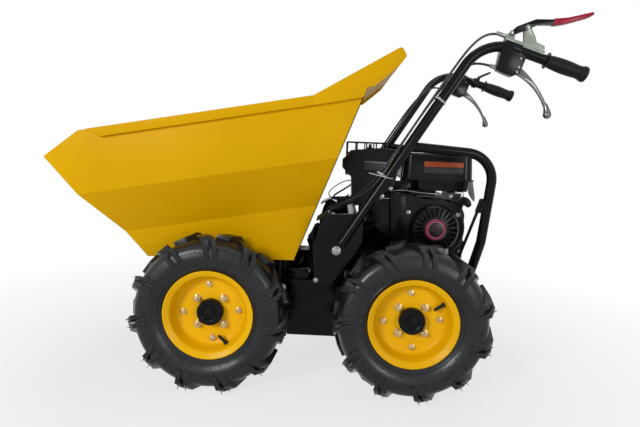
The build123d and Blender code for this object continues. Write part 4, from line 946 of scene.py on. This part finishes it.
# mid grey metal that mirrors the white room along the blades; its colour is darkened well below bright
# aluminium as painted shade, standing in for reflections of a dark room
polished = plated_zinc("polished aluminium", "70716F", "5E5F5D", 0.2)
softened("hand_levers", 0.0014, polished, "chassis")

# the taper that runs from each brake lever's blade into the ball at its end
TAPER_PLACE = (0.5817, 0.759)
TAPER_LEAN = -0.284
lever_tips = []
for out in (-1, 1):
    bpy.ops.object.select_all(action="DESELECT")
    bpy.ops.mesh.primitive_cone_add(
        vertices=32, radius1=0.0094, radius2=0.0042, depth=0.026,
        location=(TAPER_PLACE[0], out * BAR_Y, TAPER_PLACE[1]), rotation=(0, TAPER_LEAN, 0))
    taper = place_in_mesh("lever_tip")
    break_edges(taper, 0.0015, 40, segments=3)
    lever_tips.append(taper)
finish_piece(join(lever_tips, "lever_tips"), polished, "chassis")
# greenish grey, duller than the bolts
bracket_zinc = plated_zinc("dull zinc plate", "8E938B", "6F756C", 0.4)
softened("clutch_bracket", 0.0005, bracket_zinc, "chassis")
softened("clutch_lever", 0.0007, black_coat, "chassis")
# strong crimson with a soft, rubbery sheen
red_vinyl = moulded_rubber("red dipped vinyl", "9E1432", "8A102A", 0.34, 0.25)
sleeve = plate("lever_sleeve_finished", [
    (0.5785, 0.9525), (0.607, 0.9575), (0.6385, 0.967), (0.66, 0.9735), (0.669, 0.979),
    (0.672, 0.984), (0.669, 0.987), (0.638, 0.979), (0.6115, 0.9725), (0.578, 0.969)],
    -0.274, -0.254, 0.0035)
finish_piece(sleeve, red_vinyl, "chassis", smooth=50)
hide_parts("lever_sleeve")
softened("throttle_lever", 0.0014, housing_plastic, "chassis")

LEVER_FACE = BAR_Y + 0.0085
pivots = [hex_bolt((0.518, -LEVER_FACE, 0.9475), (0, -1, 0), 0.008, 0.0035, washer=0.0055),
          hex_bolt((0.481, -LEVER_FACE + 0.001, 0.934), (0, -1, 0), 0.007, 0.003, washer=0.005)]
for side in (-1, 1):
    for x, z in ((0.507, 0.8735), (0.503, 0.8535), (0.5, 0.842)):
        pivots.append(turned_disc(0.0028, 0.0012, (x, side * (BAR_Y + 0.0113), z), (0, side, 0), edge=0.0004))
finish_piece(join(pivots, "lever_screws"), bright_zinc, "chassis")
FERRULE_AXIS = (-0.955, 0, 0.296)
ferrules = []
for side in (-1, 1):
    ferrules.append(turned_disc(0.005, 0.018, (0.4555, side * BAR_Y, 0.851), FERRULE_AXIS, edge=0.0008))
ferrules.append(turned_disc(0.0052, 0.026, (0.4715, -BAR_Y, 0.926), FERRULE_AXIS, edge=0.0008))
finish_piece(join(ferrules, "cable_adjusters"), bright_zinc, "chassis")


# ---- Control cables --------------------------------------------------------------
# Bowden cables in black vinyl sleeves: clutch and left brake down the left bar, right brake
# and throttle down the right one.

# black with one thin bright line along each cable
vinyl = moulded_rubber("extruded black vinyl sleeve", "08090B", "0F1114", 0.2, 0.5)
CABLE_R = 0.003
LEFT_BRAKE = [
    (0.453, -0.264, 0.852), (0.414, -0.262, 0.864), (0.384, -0.245, 0.857), (0.35, -0.246, 0.83),
    (0.304, -0.25, 0.769), (0.21, -0.25, 0.617), (0.176, -0.236, 0.566), (0.13, -0.21, 0.52),
    (0.092, -0.186, 0.498), (0.07, -0.178, 0.484), (0.062, -0.158, 0.452), (0.058, -0.106, 0.412),
    (0.054, -0.098, 0.3), (0.052, -0.092, 0.221)]
CABLES = [  # name, length, route
    ("clutch", 0.665, [
        (0.47, -0.264, 0.9265), (0.44, -0.264, 0.936), (0.398, -0.266, 0.914), (0.353, -0.268, 0.852),
        (0.222, -0.268, 0.64), (0.196, -0.282, 0.588), (0.165, -0.264, 0.545), (0.114, -0.226, 0.508),
        (0.056, -0.186, 0.482)]),
    ("left_brake", 0.87, LEFT_BRAKE),
    ("right_brake", 0.87, [(x, -y, z) for x, y, z in LEFT_BRAKE]),
    ("throttle", 0.86, [
        (0.531, 0.247, 0.887), (0.5, 0.242, 0.903), (0.462, 0.241, 0.908), (0.412, 0.242, 0.9),
        (0.362, 0.242, 0.846), (0.306, 0.24, 0.755), (0.24, 0.224, 0.65), (0.238, 0.196, 0.596),
        (0.28, 0.15, 0.56), (0.34, 0.1, 0.53), (0.384, 0.05, 0.5215), (0.384, -0.06, 0.5215),
        (0.388, -0.107, 0.521)]),
]
for name, length, route in CABLES:
    cable = rod(name + "_cable", route, CABLE_R, vinyl, "chassis")
    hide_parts("control_cables")

# the ends at the gearbox: a rubber boot on the clutch cable, and a thin looped wire to the latch
BOOT = [(0.066, -0.2, 0.4815), (0.082, -0.2, 0.488), (0.099, -0.2, 0.495), (0.127, -0.202, 0.507)]
rod("cable_boot", BOOT, 0.0046, black_rubber, "chassis")
LATCH_WIRE = [
    (0.119, -0.1, 0.556), (0.102, -0.1, 0.553), (0.083, -0.1, 0.543), (0.061, -0.1, 0.525),
    (0.056, -0.1, 0.511), (0.07, -0.1, 0.5), (0.09, -0.1, 0.498), (0.121, -0.1, 0.519),
    (0.104, -0.103, 0.504), (0.085, -0.103, 0.489), (0.068, -0.103, 0.484), (0.068, -0.103, 0.472),
    (0.07, -0.103, 0.462)]
rod("latch_wire", LATCH_WIRE, 0.0014, vinyl, "chassis")
